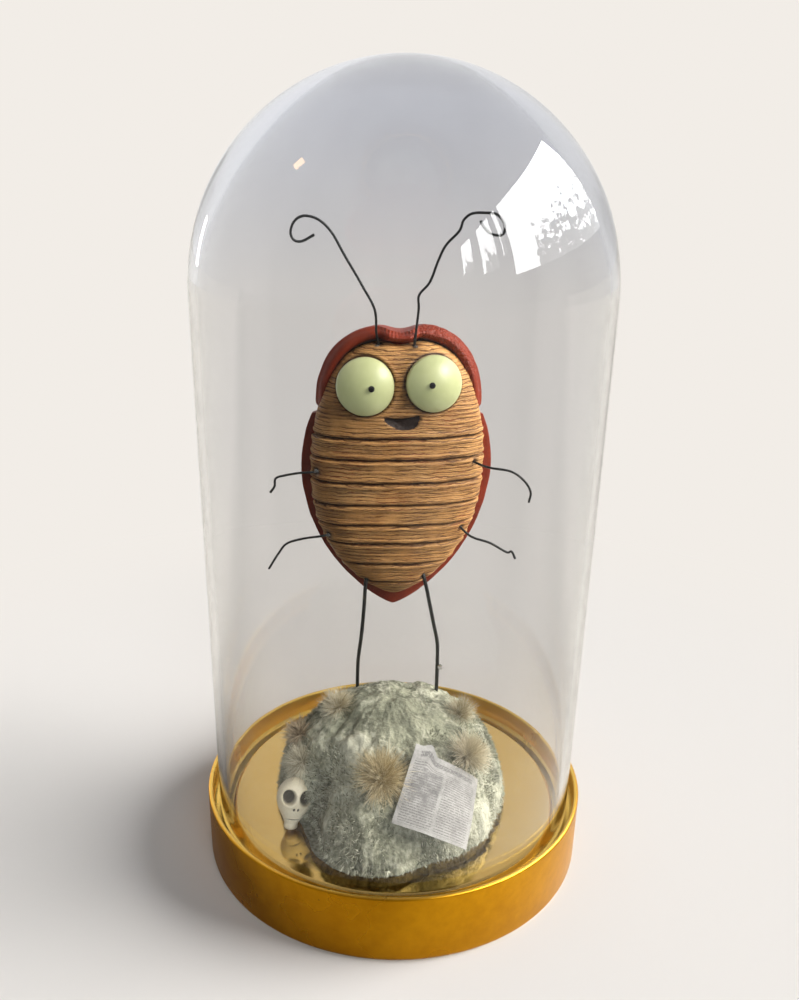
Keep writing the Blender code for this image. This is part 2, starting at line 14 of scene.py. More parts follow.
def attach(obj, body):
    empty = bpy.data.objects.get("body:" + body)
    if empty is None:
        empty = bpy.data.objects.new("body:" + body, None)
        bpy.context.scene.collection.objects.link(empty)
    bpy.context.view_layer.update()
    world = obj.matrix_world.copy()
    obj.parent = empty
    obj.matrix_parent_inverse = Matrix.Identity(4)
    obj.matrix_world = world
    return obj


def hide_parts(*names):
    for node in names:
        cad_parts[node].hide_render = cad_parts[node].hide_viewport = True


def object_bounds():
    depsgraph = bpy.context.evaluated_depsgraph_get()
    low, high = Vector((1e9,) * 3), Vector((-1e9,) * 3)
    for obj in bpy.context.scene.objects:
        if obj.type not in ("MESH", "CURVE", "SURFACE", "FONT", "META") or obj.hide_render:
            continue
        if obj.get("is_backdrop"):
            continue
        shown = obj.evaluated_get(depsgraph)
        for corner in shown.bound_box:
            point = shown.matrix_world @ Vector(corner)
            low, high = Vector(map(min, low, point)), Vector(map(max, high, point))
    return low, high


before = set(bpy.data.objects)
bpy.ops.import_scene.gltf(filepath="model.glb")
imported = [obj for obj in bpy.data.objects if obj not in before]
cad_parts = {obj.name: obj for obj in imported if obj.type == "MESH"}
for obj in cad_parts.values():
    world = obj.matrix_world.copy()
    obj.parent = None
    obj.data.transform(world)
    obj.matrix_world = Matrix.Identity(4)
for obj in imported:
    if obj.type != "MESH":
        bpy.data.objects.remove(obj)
cad_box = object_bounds()
MM = 0.001

# The camera: a phone held a little above the bell, 26 cm in front of it, which looks down on it.
CAMERA_PLACE = Vector((0, -263.8, 208.0)) * MM
CAMERA_DOWN, CAMERA_LEFT, CAMERA_ROLL = 0.4011, 0.0104, 0.0167
CAMERA_LENS, CAMERA_SHIFT, CAMERA_NEAR = 34.45, (0.0109, 0.0647), 0.01

camera = bpy.data.objects.new("camera", bpy.data.cameras.new("camera"))
bpy.context.scene.collection.objects.link(camera)
camera.matrix_world = (
    Matrix.Translation(CAMERA_PLACE)
    @ Matrix.Rotation(CAMERA_LEFT, 4, "Z")
    @ Matrix.Rotation(math.pi / 2 - CAMERA_DOWN, 4, "X")
    @ Matrix.Rotation(CAMERA_ROLL, 4, "Z")
)
camera.data.lens = CAMERA_LENS
camera.data.shift_x, camera.data.shift_y = CAMERA_SHIFT
camera.data.clip_start = CAMERA_NEAR
bpy.context.scene.camera = camera

# The floor: a wide sheet of pale paper with no edge in view. What mirrors in the glass and the brass is dim in
# front, where it would veil the glass, and pale behind and towards the window: painted shade and painted light
# on that mirrored table, apart from the evenly bright paper seen straight on.
SHEET_WIDTH, SHEET_BLUR = 60, (0.14, 0.30)
PAPER_WHITE, SHEET_COLOUR = (0.887, 0.847, 0.799), (0.845, 0.822, 0.80)
SHADED_TABLE, LIT_TABLE = (0.40, 0.375, 0.345), (0.86, 0.83, 0.78)
TABLE_TURN_X, TABLE_TURN_Y, TABLE_REACH, TABLE_FAR = (-0.005, 0.06), (0.0, 0.10), (0.10, 0.20), 0.25


def fresh(name):
    """Names the object that was just made."""
    made = bpy.context.object
    made.name = made.data.name = name
    return made


def edit(choose, kind="EDGE"):
    """Goes to edit mode with only the vertices, edges or faces that choose says yes to."""
    bpy.ops.object.mode_set(mode="EDIT")
    bpy.ops.mesh.select_mode(type=kind)
    bpy.ops.mesh.select_all(action="DESELECT")
    bpy.ops.object.mode_set(mode="OBJECT")
    mesh = bpy.context.object.data
    for item in {"VERT": mesh.vertices, "EDGE": mesh.edges, "FACE": mesh.polygons}[kind]:
        item.select = choose(mesh, item)
    bpy.ops.object.mode_set(mode="EDIT")


def done():
    bpy.ops.object.mode_set(mode="OBJECT")


def add_node(tree, kind, inputs=None, **settings):
    """A shader node with its settings, and its inputs given as values or as sockets to link."""
    made = tree.nodes.new("ShaderNode" + kind)
    for key, value in settings.items():
        setattr(made, key, value)
    for key, value in (inputs or {}).items():
        if isinstance(value, bpy.types.NodeSocket):
            tree.links.new(value, made.inputs[key])
        else:
            made.inputs[key].default_value = value
    return made


def maths(tree, operation, *values):
    return add_node(tree, "Math", dict(enumerate(values)), operation=operation).outputs["Value"]


def ramp(tree, value, low, high, start=0.0, end=1.0, smooth=False):
    """A value that goes from start to end while the given one goes from low to high."""
    bounds = {"Value": value, "From Min": low, "From Max": high, "To Min": start, "To Max": end}
    kind = "SMOOTHSTEP" if smooth else "LINEAR"
    return add_node(tree, "MapRange", bounds, interpolation_type=kind).outputs["Result"]


def blend(tree, share, *colours):
    """A colour between two, each given as a colour or as a socket."""
    ends = [colour if isinstance(colour, bpy.types.NodeSocket) else (*colour, 1) for colour in colours]
    return add_node(tree, "Mix", {"Factor": share, 6: ends[0], 7: ends[1]}, data_type="RGBA").outputs[2]


def times(tree, vector, share):
    return add_node(tree, "VectorMath", {0: vector, 1: share}, operation="MULTIPLY").outputs["Vector"]


def length_of(tree, vector):
    return add_node(tree, "VectorMath", {0: vector}, operation="LENGTH").outputs["Value"]


def parts_of(tree, vector):
    return tuple(add_node(tree, "SeparateXYZ", {"Vector": vector}).outputs)


def object_place(tree):
    return add_node(tree, "TexCoord").outputs["Object"]


def new_material(name, **values):
    """A material, its node tree and its Principled shader, whose sockets take the given values."""
    made = bpy.data.materials.new(name)
    made.use_nodes = True
    shader = made.node_tree.nodes["Principled BSDF"]
    for key, value in values.items():
        shader.inputs[key.replace("_", " ")].default_value = value
    return made, made.node_tree, shader


def seen_first(tree):
    """1 where a ray comes from the eye, straight or through glass, and 0 after it met anything else."""
    path = add_node(tree, "LightPath").outputs
    return maths(tree, "LESS_THAN", maths(tree, "ADD", path["Diffuse Depth"], path["Glossy Depth"]), 0.5)


bpy.ops.object.select_all(action="DESELECT")
bpy.ops.mesh.primitive_plane_add(size=SHEET_WIDTH)
floor = fresh("floor")
edit(lambda mesh, face: True, "FACE")
bpy.ops.mesh.subdivide(number_cuts=3)
done()
sheet_paper, tree, shader = new_material(
    "sheet_paper", Roughness=0.9, Specular_IOR_Level=0.0, Emission_Color=(*PAPER_WHITE, 1)
)
place = object_place(tree)
right, back, up = parts_of(tree, place)
away = length_of(tree, place)
# As mirrored in the glass and brass, the table is painted in shade in front and in light behind and towards the
# window.
table = blend(tree, ramp(tree, right, *TABLE_TURN_X), SHADED_TABLE, LIT_TABLE)
table = times(tree, table, ramp(tree, away, *TABLE_REACH, 1, TABLE_FAR, smooth=True))
table = blend(tree, ramp(tree, back, *TABLE_TURN_Y, smooth=True), table, LIT_TABLE)
sheet = blend(tree, seen_first(tree), table, SHEET_COLOUR)
glow = maths(tree, "MULTIPLY", ramp(tree, away, *SHEET_BLUR, smooth=True), seen_first(tree))
tree.links.new(glow, shader.inputs["Emission Strength"])
tree.links.new(times(tree, sheet, maths(tree, "SUBTRACT", 1.0, glow)), shader.inputs["Base Color"])
floor.data.materials.append(sheet_paper)
floor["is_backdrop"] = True

# The light: soft daylight from the right and a weaker fill from the front, a window that shows as wide and
# narrow panes in the glass with twigs outside it, two small lamps, and the room, brightest behind the bell.
KEY_BEARING, KEY_HEIGHT, KEY_SPREAD, KEY_STRENGTH, KEY_COLOUR = 92, 24, 50, 5.9, (1.0, 0.975, 0.94)
FILL_BEARING, FILL_HEIGHT, FILL_SPREAD, FILL_STRENGTH, FILL_COLOUR = 10, 15, 50, 2.0, (0.90, 0.95, 1.0)
FIGURE_LIGHT_BEARING, FIGURE_LIGHT_HEIGHT, FIGURE_LIGHT_POWER = math.radians(60), math.radians(38), 5.2
FIGURE_LIGHT_AWAY, FIGURE_LIGHT_SIZE, FIGURE_LIGHT_COLOUR = 0.62, (0.26, 0.34), (1.0, 0.96, 0.90)
FIGURE_MIDDLE = Vector((0, 0, 0.1))
WINDOW_X, WINDOW_TOP, WINDOW_RADIANCE = 0.9, 1.085, 14.0
WINDOW_PANES = ((-0.58, 0.70, 0.40), (-0.70, -0.64, 0.60), (-1.08, -0.79, 0.52), (-1.57, -1.27, 0.64))
SMALL_LAMPS = (
    ("warm_lamp", (-0.55, -0.03, 0.81), 0.055, 0.06, 13, (1.0, 0.56, 0.24)),
    ("left_lamp", (-0.66, 0.61, 0.25), 0.05, 0.16, 9, (1.0, 0.98, 0.95)),
)
SMALL_LAMPS_AIM = Vector((0, 0, 0.2))
ROOM_DARK, ROOM_BACK, ROOM_LEFT, ROOM_RIGHT, ROOM_ON_PAINT = 0.12, 0.72, 0.22, -0.08, 0.25
ROOM_TINT = (1.0, 0.99, 0.98)


def add_light(name, kind, **settings):
    lamp = bpy.data.lights.new(name, kind)
    for key, value in settings.items():
        setattr(lamp, key, value)
    holder = bpy.data.objects.new(name, lamp)
    holder.visible_transmission = False
    bpy.context.scene.collection.objects.link(holder)
    return holder


def add_daylight(name, bearing, height, spread, strength, colour):
    """Light from a bearing, in degrees to the right of the front, that leaves no mark in glass or brass."""
    light = add_light(name, "SUN", angle=math.radians(spread), energy=strength, color=colour)
    light.rotation_euler = (math.radians(90 - height), 0, math.radians(bearing))
    light.visible_glossy = False
    return light


def add_panel(name, place, width, height, radiance, colour):
    """A glowing rectangle that shows in glass and brass and lights nothing."""
    panel = add_light(name, "AREA", shape="RECTANGLE", size=width, size_y=height, color=colour)
    panel.data.energy = radiance * math.pi * width * height
    panel.location = place
    panel.visible_diffuse = False
    return panel


add_daylight("daylight", KEY_BEARING, KEY_HEIGHT, KEY_SPREAD, KEY_STRENGTH, KEY_COLOUR)
fill = add_daylight("fill", FILL_BEARING, FILL_HEIGHT, FILL_SPREAD, FILL_STRENGTH, FILL_COLOUR)
for count, (near, far, foot) in enumerate(WINDOW_PANES):
    width, height = far - near, WINDOW_TOP - foot
    middle = (WINDOW_X, (near + far) / 2, (foot + WINDOW_TOP) / 2)
    pane = add_panel(f"window_pane_{count}", middle, width, height, WINDOW_RADIANCE, (1, 1, 1))
    pane.rotation_euler = (math.pi / 2, 0, math.pi / 2)
    pane.data.use_nodes = True
    tree = pane.data.node_tree
    on_pane = add_node(tree, "NewGeometry").outputs["Parametric"]
    side, up, out = parts_of(tree, on_pane)
    twigs = add_node(tree, "TexNoise", {"Vector": on_pane, "Scale": 10 * width, "Detail": 8, "Roughness": 0.72})
    sky = maths(tree, "MULTIPLY_ADD", up, 0.42, twigs.outputs["Fac"])
    sky = maths(tree, "MULTIPLY_ADD", ramp(tree, side, 0.24, 0.14), 0.5, sky)
    off_paint = maths(tree, "LESS_THAN", add_node(tree, "LightPath").outputs["Diffuse Depth"], 0.5)
    shine = maths(tree, "MULTIPLY", ramp(tree, sky, 0.60, 0.64, 0.08), off_paint)
    tree.links.new(shine, tree.nodes["Emission"].inputs["Strength"])
for name, place, width, height, radiance, colour in SMALL_LAMPS:
    lamp = add_panel(name, place, width, height, radiance, colour)
    lamp.rotation_euler = (SMALL_LAMPS_AIM - Vector(place)).to_track_quat("-Z", "Y").to_euler()

width, height = FIGURE_LIGHT_SIZE
figure_light = add_light("figure_light", "AREA", shape="RECTANGLE", size=width, size_y=height)
figure_light.data.color = FIGURE_LIGHT_COLOUR
figure_light.data.energy = FIGURE_LIGHT_POWER
figure_light.data.cycles.use_multiple_importance_sampling = False
bearing, height = FIGURE_LIGHT_BEARING, FIGURE_LIGHT_HEIGHT
aside = Vector((math.sin(bearing), -math.cos(bearing), math.tan(height)))
figure_light.location = FIGURE_LIGHT_AWAY * aside + FIGURE_MIDDLE
figure_light.rotation_euler = (FIGURE_MIDDLE - figure_light.location).to_track_quat("-Z", "Y").to_euler()
unlit = bpy.data.collections.new("unlit_by_the_figure_light")
figure_light.light_linking.receiver_collection = unlit
unfilled = bpy.data.collections.new("unlit_by_the_fill")
fill.light_linking.receiver_collection = unfilled

room = bpy.data.worlds.new("room")
room.use_nodes = True
tree = room.node_tree
right, back, up = parts_of(tree, add_node(tree, "TexCoord").outputs["Generated"])
behind, beside = ramp(tree, back, -0.2, 0.8, 0, ROOM_BACK), ramp(tree, right, -1, 1, ROOM_LEFT, ROOM_RIGHT)
level = maths(tree, "ADD", behind, beside)
level = maths(tree, "ADD", level, ROOM_DARK)
on_paint = ramp(tree, add_node(tree, "LightPath").outputs["Is Diffuse Ray"], 0, 1, 1, ROOM_ON_PAINT)
room_tone = times(tree, maths(tree, "MULTIPLY", level, on_paint), ROOM_TINT)
shown = blend(tree, seen_first(tree), room_tone, PAPER_WHITE)
tree.links.new(shown, tree.nodes["Background"].inputs["Color"])
bpy.context.scene.world = room
bpy.context.scene.view_settings.view_transform = "Standard"

# The base: a low tray spun from one sheet of brass, lacquered, with a satin wall, a rolled rim, a channel that
# takes the foot of the glass, and a floor raised in its middle and polished like a mirror.
BASE_RADIUS, BASE_HEIGHT, BRASS_SHEET, BASE_SIDES = 60 * MM, 22.7 * MM, 1.4 * MM, 128
CHANNEL_Z, FLOOR_Z, FLOOR_RADIUS, FLOOR_EDGE = 16 * MM, 18.2 * MM, 52 * MM, 1.2 * MM
WALL_FROM, CHANNEL_FROM = (59.0 * MM, 59.9 * MM), (52.2 * MM, 53.0 * MM)
WALL_BRASS, MIRROR_BRASS = ((0.83, 0.39, 0.010), (0.62, 0.26, 0.005)), ((0.85, 0.60, 0.225), (0.77, 0.51, 0.16))
# The brass of the channel and rim is paler and yellower: a painted reflection of a bright gleam there.
CHANNEL_GLEAM_BRASS, GLOSS, SATIN = (0.94, 0.635, 0.15), (0.045, 0.11), (0.24, 0.34)


def on_ring(height, radius, slack=0.00002):
    """A test for edges that lie at a height and a radius."""

    def test(mesh, edge):
        ends = [mesh.vertices[i].co for i in edge.vertices]
        return all(abs(end.z - height) < slack and abs(end.xy.length - radius) < slack for end in ends)

    return test


def widen(rings):
    """Extrudes the selected ring of edges from each (radius, height) to the next, round the Z axis."""
    for (radius, height), (next_radius, next_height) in zip(rings, rings[1:]):
        bpy.ops.mesh.extrude_region_move(TRANSFORM_OT_translate={"value": (0, 0, next_height - height)})
        share = next_radius / radius
        bpy.ops.transform.resize(value=(share, share, 1), center_override=(0, 0, 0))


def arc(radius, height, size, start, end, count):
    """Rings along an arc round (radius, height), with angles in degrees from outwards."""
    turns = [math.radians(start + (end - start) * i / count) for i in range(count + 1)]
    return [(radius + size * math.cos(turn), height + size * math.sin(turn)) for turn in turns]


def apply_modifier(piece, kind, **settings):
    """Adds a modifier to the active piece and applies it."""
    modifier = piece.modifiers.new(kind.lower(), kind)
    for key, value in settings.items():
        setattr(modifier, key, value)
    bpy.ops.object.modifier_apply(modifier=modifier.name)


middle_radius, inner_radius = FLOOR_RADIUS - FLOOR_EDGE, BASE_RADIUS - BRASS_SHEET
wall_foot = BASE_RADIUS - 3 * MM
bpy.ops.object.select_all(action="DESELECT")
bpy.ops.mesh.primitive_circle_add(
    vertices=BASE_SIDES, radius=middle_radius, fill_type="TRIFAN", location=(0, 0, FLOOR_Z)
)
base = fresh("brass_base")
bpy.ops.object.transform_apply()
edit(on_ring(FLOOR_Z, middle_radius))
profile = [(middle_radius, FLOOR_Z)]
profile += arc(middle_radius, FLOOR_Z - FLOOR_EDGE, FLOOR_EDGE, 80, 15, 4)
profile += [(FLOOR_RADIUS + 0.5 * FLOOR_EDGE, CHANNEL_Z), (inner_radius - 1 * MM, CHANNEL_Z)]
profile += arc(inner_radius - 1 * MM, CHANNEL_Z + 1 * MM, 1 * MM, -60, 0, 3)
profile += arc(BASE_RADIUS - BRASS_SHEET / 2, BASE_HEIGHT - BRASS_SHEET / 2, BRASS_SHEET / 2, 180, 0, 9)
profile += arc(BASE_RADIUS - 2 * MM, 2 * MM, 2 * MM, 0, -90, 6)
profile += [(wall_foot, 0), (wall_foot, BRASS_SHEET), (inner_radius, BRASS_SHEET + 1 * MM)]
profile += [(inner_radius, CHANNEL_Z - BRASS_SHEET), (FLOOR_RADIUS, CHANNEL_Z - BRASS_SHEET)]
profile += [(FLOOR_RADIUS - 2 * MM, FLOOR_Z - BRASS_SHEET), (0.01 * MM, FLOOR_Z - BRASS_SHEET)]
widen(profile)
done()
apply_modifier(base, "BEVEL", width=0.25 * MM, segments=3, limit_method="ANGLE", angle_limit=math.radians(40))
bpy.ops.object.shade_smooth_by_angle(angle=math.radians(35))

# The mottling that every worked surface of the piece shows: two colours that run into each other in patches
# and in finer grain, and the same pattern as a height.
mottle = bpy.data.node_groups.new("mottle", "ShaderNodeTree")
for way, name, kind in (
    ("INPUT", "Vector", "Vector"), ("INPUT", "Patch Scale", "Float"), ("INPUT", "Grain Scale", "Float"),
    ("INPUT", "Light", "Color"), ("INPUT", "Dark", "Color"),
    ("OUTPUT", "Color", "Color"), ("OUTPUT", "Height", "Float"), ("OUTPUT", "Patches", "Float"),
):
    mottle.interface.new_socket(name=name, in_out=way, socket_type="NodeSocket" + kind)
takes, gives = mottle.nodes.new("NodeGroupInput").outputs, mottle.nodes.new("NodeGroupOutput").inputs
patches = add_node(mottle, "TexNoise", {"Vector": takes["Vector"], "Scale": takes["Patch Scale"], "Detail": 4})
grain = add_node(mottle, "TexNoise", {"Vector": takes["Vector"], "Scale": takes["Grain Scale"], "Detail": 5})
grain.inputs["Roughness"].default_value = 0.65
both = add_node(mottle, "Mix", {"Factor": 0.4, "A": patches.outputs["Fac"], "B": grain.outputs["Fac"]})
spread = ramp(mottle, both.outputs["Result"], 0.35, 0.65)
mottle.links.new(blend(mottle, spread, takes["Dark"], takes["Light"]), gives["Color"])
mottle.links.new(grain.outputs["Fac"], gives["Height"])
mottle.links.new(patches.outputs["Fac"], gives["Patches"])


def add_mottle(tree, vector, patch_scale, grain_scale, light, dark):
    made = tree.nodes.new("ShaderNodeGroup")
    made.node_tree = mottle
    tree.links.new(vector, made.inputs["Vector"])
    values = {"Patch Scale": patch_scale, "Grain Scale": grain_scale, "Light": (*light, 1), "Dark": (*dark, 1)}
    for key, value in values.items():
        made.inputs[key].default_value = value
    return made.outputs


def add_bump(tree, shader, height, distance, strength=1.0):
    bump = add_node(tree, "Bump", {"Height": height, "Distance": distance, "Strength": strength})
    tree.links.new(bump.outputs["Normal"], shader.inputs["Normal"])


def plain_material(name, scales, tones, bump=None, **values):
    """A material that is mottled all over and has no other marks. The bump is a depth and a strength."""
    made, tree, shader = new_material(name, **values)
    mottled = add_mottle(tree, object_place(tree), *scales, *tones)
    tree.links.new(mottled["Color"], shader.inputs["Base Color"])
    if bump:
        add_bump(tree, shader, mottled["Height"], *bump)
    return made


polished_brass, tree, shader = new_material("polished_brass", Metallic=1.0)
place = object_place(tree)
tarnish = add_mottle(tree, place, 26, 240, *WALL_BRASS)
mirror = add_mottle(tree, place, 20, 200, *MIRROR_BRASS)
right, back, up = parts_of(tree, place)
reach = length_of(tree, add_node(tree, "CombineXYZ", {"X": right, "Y": back}).outputs["Vector"])
wall, channel = ramp(tree, reach, *WALL_FROM), ramp(tree, reach, *CHANNEL_FROM)
gloss, satin = [ramp(tree, tarnish["Patches"], 0.3, 0.7, *ends) for ends in (GLOSS, SATIN)]
rough = add_node(tree, "Mix", {"Factor": channel, "A": gloss, "B": satin}).outputs["Result"]
tree.links.new(rough, shader.inputs["Roughness"])
# Painted reflection: paler, yellower brass in the channel and on the inside of the rim.
inside = blend(tree, channel, mirror["Color"], CHANNEL_GLEAM_BRASS)
tree.links.new(blend(tree, wall, inside, tarnish["Color"]), shader.inputs["Base Color"])
add_bump(tree, shader, tarnish["Height"], 0.02 * MM, 0.35)
base.data.materials.append(polished_brass)
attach(base, "root")
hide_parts("base_tray")

# The bell: clear glass blown in a mould, a straight cylinder with a half round top and a fire polished foot
# that stands loose in the channel of the base.
GLASS_RADIUS, GLASS_WALL, SHOULDER_Z = 56.5 * MM, 2.3 * MM, 175.2 * MM
GLASS_FOOT_Z, CROWN_EXTRA = CHANNEL_Z + 0.5 * MM, 2 * MM
FOOT_TINT, WALL_TINT, CROWN_SHADE_TINT = (0.912, 0.902, 0.884), (0.858, 0.859, 0.866), (0.76, 0.785, 0.845)
LAMP_TINT = (0.985, 0.985, 0.985)

shoulder = Vector((0, 0, SHOULDER_Z))
bpy.ops.object.select_all(action="DESELECT")
bpy.ops.mesh.primitive_uv_sphere_add(segments=192, ring_count=96, radius=GLASS_RADIUS, location=shoulder)
bell = fresh("glass_bell")
bpy.ops.object.transform_apply()
edit(lambda mesh, corner: corner.co.z < SHOULDER_Z - 0.1 * MM, "VERT")
bpy.ops.mesh.delete(type="VERT")
done()
edit(on_ring(SHOULDER_Z, GLASS_RADIUS))
widen([(GLASS_RADIUS, SHOULDER_Z - (SHOULDER_Z - GLASS_FOOT_Z) * i / 24) for i in range(25)])
done()
apply_modifier(bell, "SOLIDIFY", thickness=GLASS_WALL, offset=-1)
for corner in bell.data.vertices:
    out = corner.co - shoulder
    if out.z > 0 and out.length < GLASS_RADIUS - 0.5 * GLASS_WALL:
        climb = math.asin(min(1.0, out.z / out.length))
        corner.co -= out.normalized() * CROWN_EXTRA * math.sin(2 * climb) ** 1.5
foot_rings = (on_ring(GLASS_FOOT_Z, GLASS_RADIUS), on_ring(GLASS_FOOT_Z, GLASS_RADIUS - GLASS_WALL, 0.1 * MM))
edit(lambda mesh, edge: any(ring(mesh, edge) for ring in foot_rings))
bpy.ops.mesh.bevel(offset=0.45 * GLASS_WALL, segments=5)
done()
bpy.ops.object.shade_smooth()

clear_glass, tree, shader = new_material("clear_glass", Roughness=0.0, IOR=1.46, Transmission_Weight=1.0)
place = object_place(tree)
right, back, up = parts_of(tree, place)
# The tint grows darker from the foot up and darker and bluer again at the crown: painted shade on the glass.
shaded_tint = blend(tree, ramp(tree, up, 0.03, 0.14), FOOT_TINT, WALL_TINT)
shaded_tint = blend(tree, ramp(tree, up, SHOULDER_Z, SHOULDER_Z + 0.8 * GLASS_RADIUS), shaded_tint, CROWN_SHADE_TINT)
# The ripple is a real waviness in the bump, and its faint vertical streaks in the tint are painted light.
drawn = add_node(tree, "Mapping", {"Vector": place, "Scale": (70, 70, 6)}).outputs["Vector"]
ripple = add_node(tree, "TexNoise", {"Vector": drawn, "Scale": 1.0, "Detail": 1.0}).outputs["Fac"]
tree.links.new(times(tree, shaded_tint, ramp(tree, ripple, 0.3, 0.7, 0.985, 1.01)), shader.inputs["Base Color"])
add_bump(tree, shader, ripple, 0.04 * MM)
lamp_ray = add_node(tree, "LightPath").outputs["Is Shadow Ray"]
let_through = add_node(tree, "BsdfTransparent", {"Color": (*LAMP_TINT, 1)}).outputs["BSDF"]
either = add_node(tree, "MixShader", {0: lamp_ray, 1: shader.outputs["BSDF"], 2: let_through})
tree.links.new(either.outputs["Shader"], tree.nodes["Material Output"].inputs["Surface"])
bell.data.materials.append(clear_glass)
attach(bell, "root")
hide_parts("glass_dome")

# The rock: a lump of foam or plaster under a thick crust of grey green granules, which hang over its foot in
# a ragged pale edge. It is glued to the floor of the base. A patch of the crust is a share of the way down, a
# bearing, a size in millimetres and how much paler it is. Some are pale and dark patches of the crust itself,
# and some are painted light and painted shade: lighter on the left lobe and darker on the crown.
ROCK_MIDDLE = Vector((-1, -7, 18.5)) * MM
ROCK_RADIUS, ROCK_HEIGHT, SKIRT_HEIGHT, SKIRT_DRAW = 37 * MM, 35.2 * MM, 3 * MM, 2.5 * MM
BULGE_BEARING, BULGE_WIDTH, BULGE_SHARE = math.radians(252), math.radians(32), 0.14
NICHE_BEARING, NICHE_WIDTH, NICHE_SHARE = math.radians(208), math.radians(14), 0.1
NOOK_BEARING, NOOK_WIDTH, NOOK_DEPTH = math.radians(225), math.radians(17), 6 * MM
UNDERSIDE_FROM, RING_STRETCH, HEM_END = 0.97, 1.22, 1.64
CRUST_PATCHES_AND_PAINTED_LIGHT = (
    (0.37, 240, 6.5, 0.6), (0.95, 325, 10, 0.25), (0.62, 248, 6, 0.2), (0.8, 236, 10, 0.2),
    (0.72, 215, 10, 0.35), (0.2, 215, 7, -0.2), (0.05, 0, 9, -0.15), (0.15, 285, 7, -0.3),
    (0.55, 285, 6, -0.25), (0.3, 320, 8, -0.2),
)
CRUST_TONES, CRUST_PALE_AND_LIT = ((0.40, 0.41, 0.30), (0.09, 0.095, 0.066)), (0.62, 0.62, 0.49)


def swell(angle, bearing, width):
    """1 at the bearing, falling off to both sides of it."""
    off = (angle - bearing + math.pi) % math.tau - math.pi
    return math.exp(-((off / width) ** 2))


def hump(value, middle, width):
    """1 at the middle, falling off to both sides of it."""
    return math.exp(-(((value - middle) / width) ** 2))


def smooth_step(value, low, high):
    share = max(0.0, min(1.0, (value - low) / (high - low)))
    return share * share * (3 - 2 * share)


def rock_point(share, angle):
    """share is 0 at the crest, 1 at the widest ring and 2 at the foot."""
    low = max(0.0, min(share, 1.0))
    out = math.sin(low * math.pi / 2) ** (0.95 - 0.08 * math.cos(angle))
    up = max(0.0, math.cos(low * math.pi / 2)) ** 0.9
    bulge = BULGE_SHARE * swell(angle, BULGE_BEARING, BULGE_WIDTH)
    niche = NICHE_SHARE * swell(angle, NICHE_BEARING, NICHE_WIDTH)
    reach = ROCK_RADIUS * out * (1 + (bulge - niche) * low**2)
    height = SKIRT_HEIGHT + (ROCK_HEIGHT - SKIRT_HEIGHT) * up
    point = Vector((math.cos(angle) * reach, math.sin(angle) * reach, height))
    point += point.normalized() * noise.noise(point / (14 * MM) + Vector((3.1, 0.7, 5.2))) * 1.8 * MM
    if share > 1:
        foot = Vector((point.x, point.y, 0)) * (1 - SKIRT_DRAW / ROCK_RADIUS)
        point = point.lerp(foot, min(1.0, share - 1))
    return point + ROCK_MIDDLE


def moulded_ball(name, segments, rings, point_at):
    """A ball whose corners are pressed to point_at(share of the way from its top to its bottom, bearing)."""
    bpy.ops.object.select_all(action="DESELECT")
    bpy.ops.mesh.primitive_uv_sphere_add(segments=segments, ring_count=rings, radius=1)
    piece = fresh(name)
    for corner in piece.data.vertices:
        share = math.acos(max(-1.0, min(1.0, corner.co.z))) / math.pi
        corner.co = point_at(share, math.atan2(corner.co.y, corner.co.x))
    bpy.ops.object.shade_smooth()
    return piece


def mark(mesh, name, values):
    """Keeps a number at each corner of a mesh, for its material."""
    mesh.attributes.new(name, "FLOAT", "POINT").data.foreach_set("value", values)


def marked(tree, name):
    return add_node(tree, "Attribute", attribute_name=name).outputs["Fac"]


def clotted(point, size):
    """Height of a clotted crust at a point: rounded lumps of that size, from -1 to 1."""
    return 1 - 2 * noise.voronoi(point / size)[0][0]


def crust_point(share, angle):
    """The rock with its clots, its ridges down the crown, its ragged hem and the nook of the skull."""
    if share > UNDERSIDE_FROM:
        return ROCK_MIDDLE
    along, turn = share / UNDERSIDE_FROM * 2, HEM_END / RING_STRETCH
    along = along * RING_STRETCH if along < turn else HEM_END + (along - turn) * ((2 - HEM_END) / (2 - turn))
    point = rock_point(min(along, 2.0), angle)
    away = (point - ROCK_MIDDLE).normalized()
    ridges = noise.noise(Vector((point.x / (5 * MM), point.y / (5 * MM), point.z / (22 * MM))))
    rough = 1.3 * ridges + 1.2 * noise.noise(point / (8 * MM)) + 0.7 * noise.noise(point / (3 * MM))
    rough += 0.4 * clotted(point, 2.4 * MM) + 0.25 * clotted(point, 1.2 * MM)
    rough += 0.5 - 2.0 * smooth_step(along, 0.1, 0.7)
    rough -= NOOK_DEPTH / MM * swell(angle, NOOK_BEARING, NOOK_WIDTH) * smooth_step(along, 0.35, 0.7)
    hem = hump(along, 1.05, 0.16) * (0.8 + 1.2 * noise.noise(Vector((angle * 22, 0, 9))))
    keep = 1.0 if along < 1.4 else 0.3
    return point + away * rough * keep * MM + Vector((away.x, away.y, -0.4)) * hem * MM


def pale_and_lit_share(point):
    """How pale the crust is: paler in pale patches and painted light, darker in dark patches and painted shade.
    """
    tone = 0.35 + 0.3 * noise.noise(point / (6 * MM)) + 0.25 * noise.noise(point / (1.7 * MM))
    for share, bearing, size, change in CRUST_PATCHES_AND_PAINTED_LIGHT:
        tone += change * hump((point - rock_point(share, math.radians(bearing))).length, 0, size * MM)
    return max(0.0, min(1.0, tone))


rock = moulded_ball("crusted_rock", 340, 150, crust_point)
mark(rock.data, "pale", [pale_and_lit_share(corner.co) for corner in rock.data.vertices])

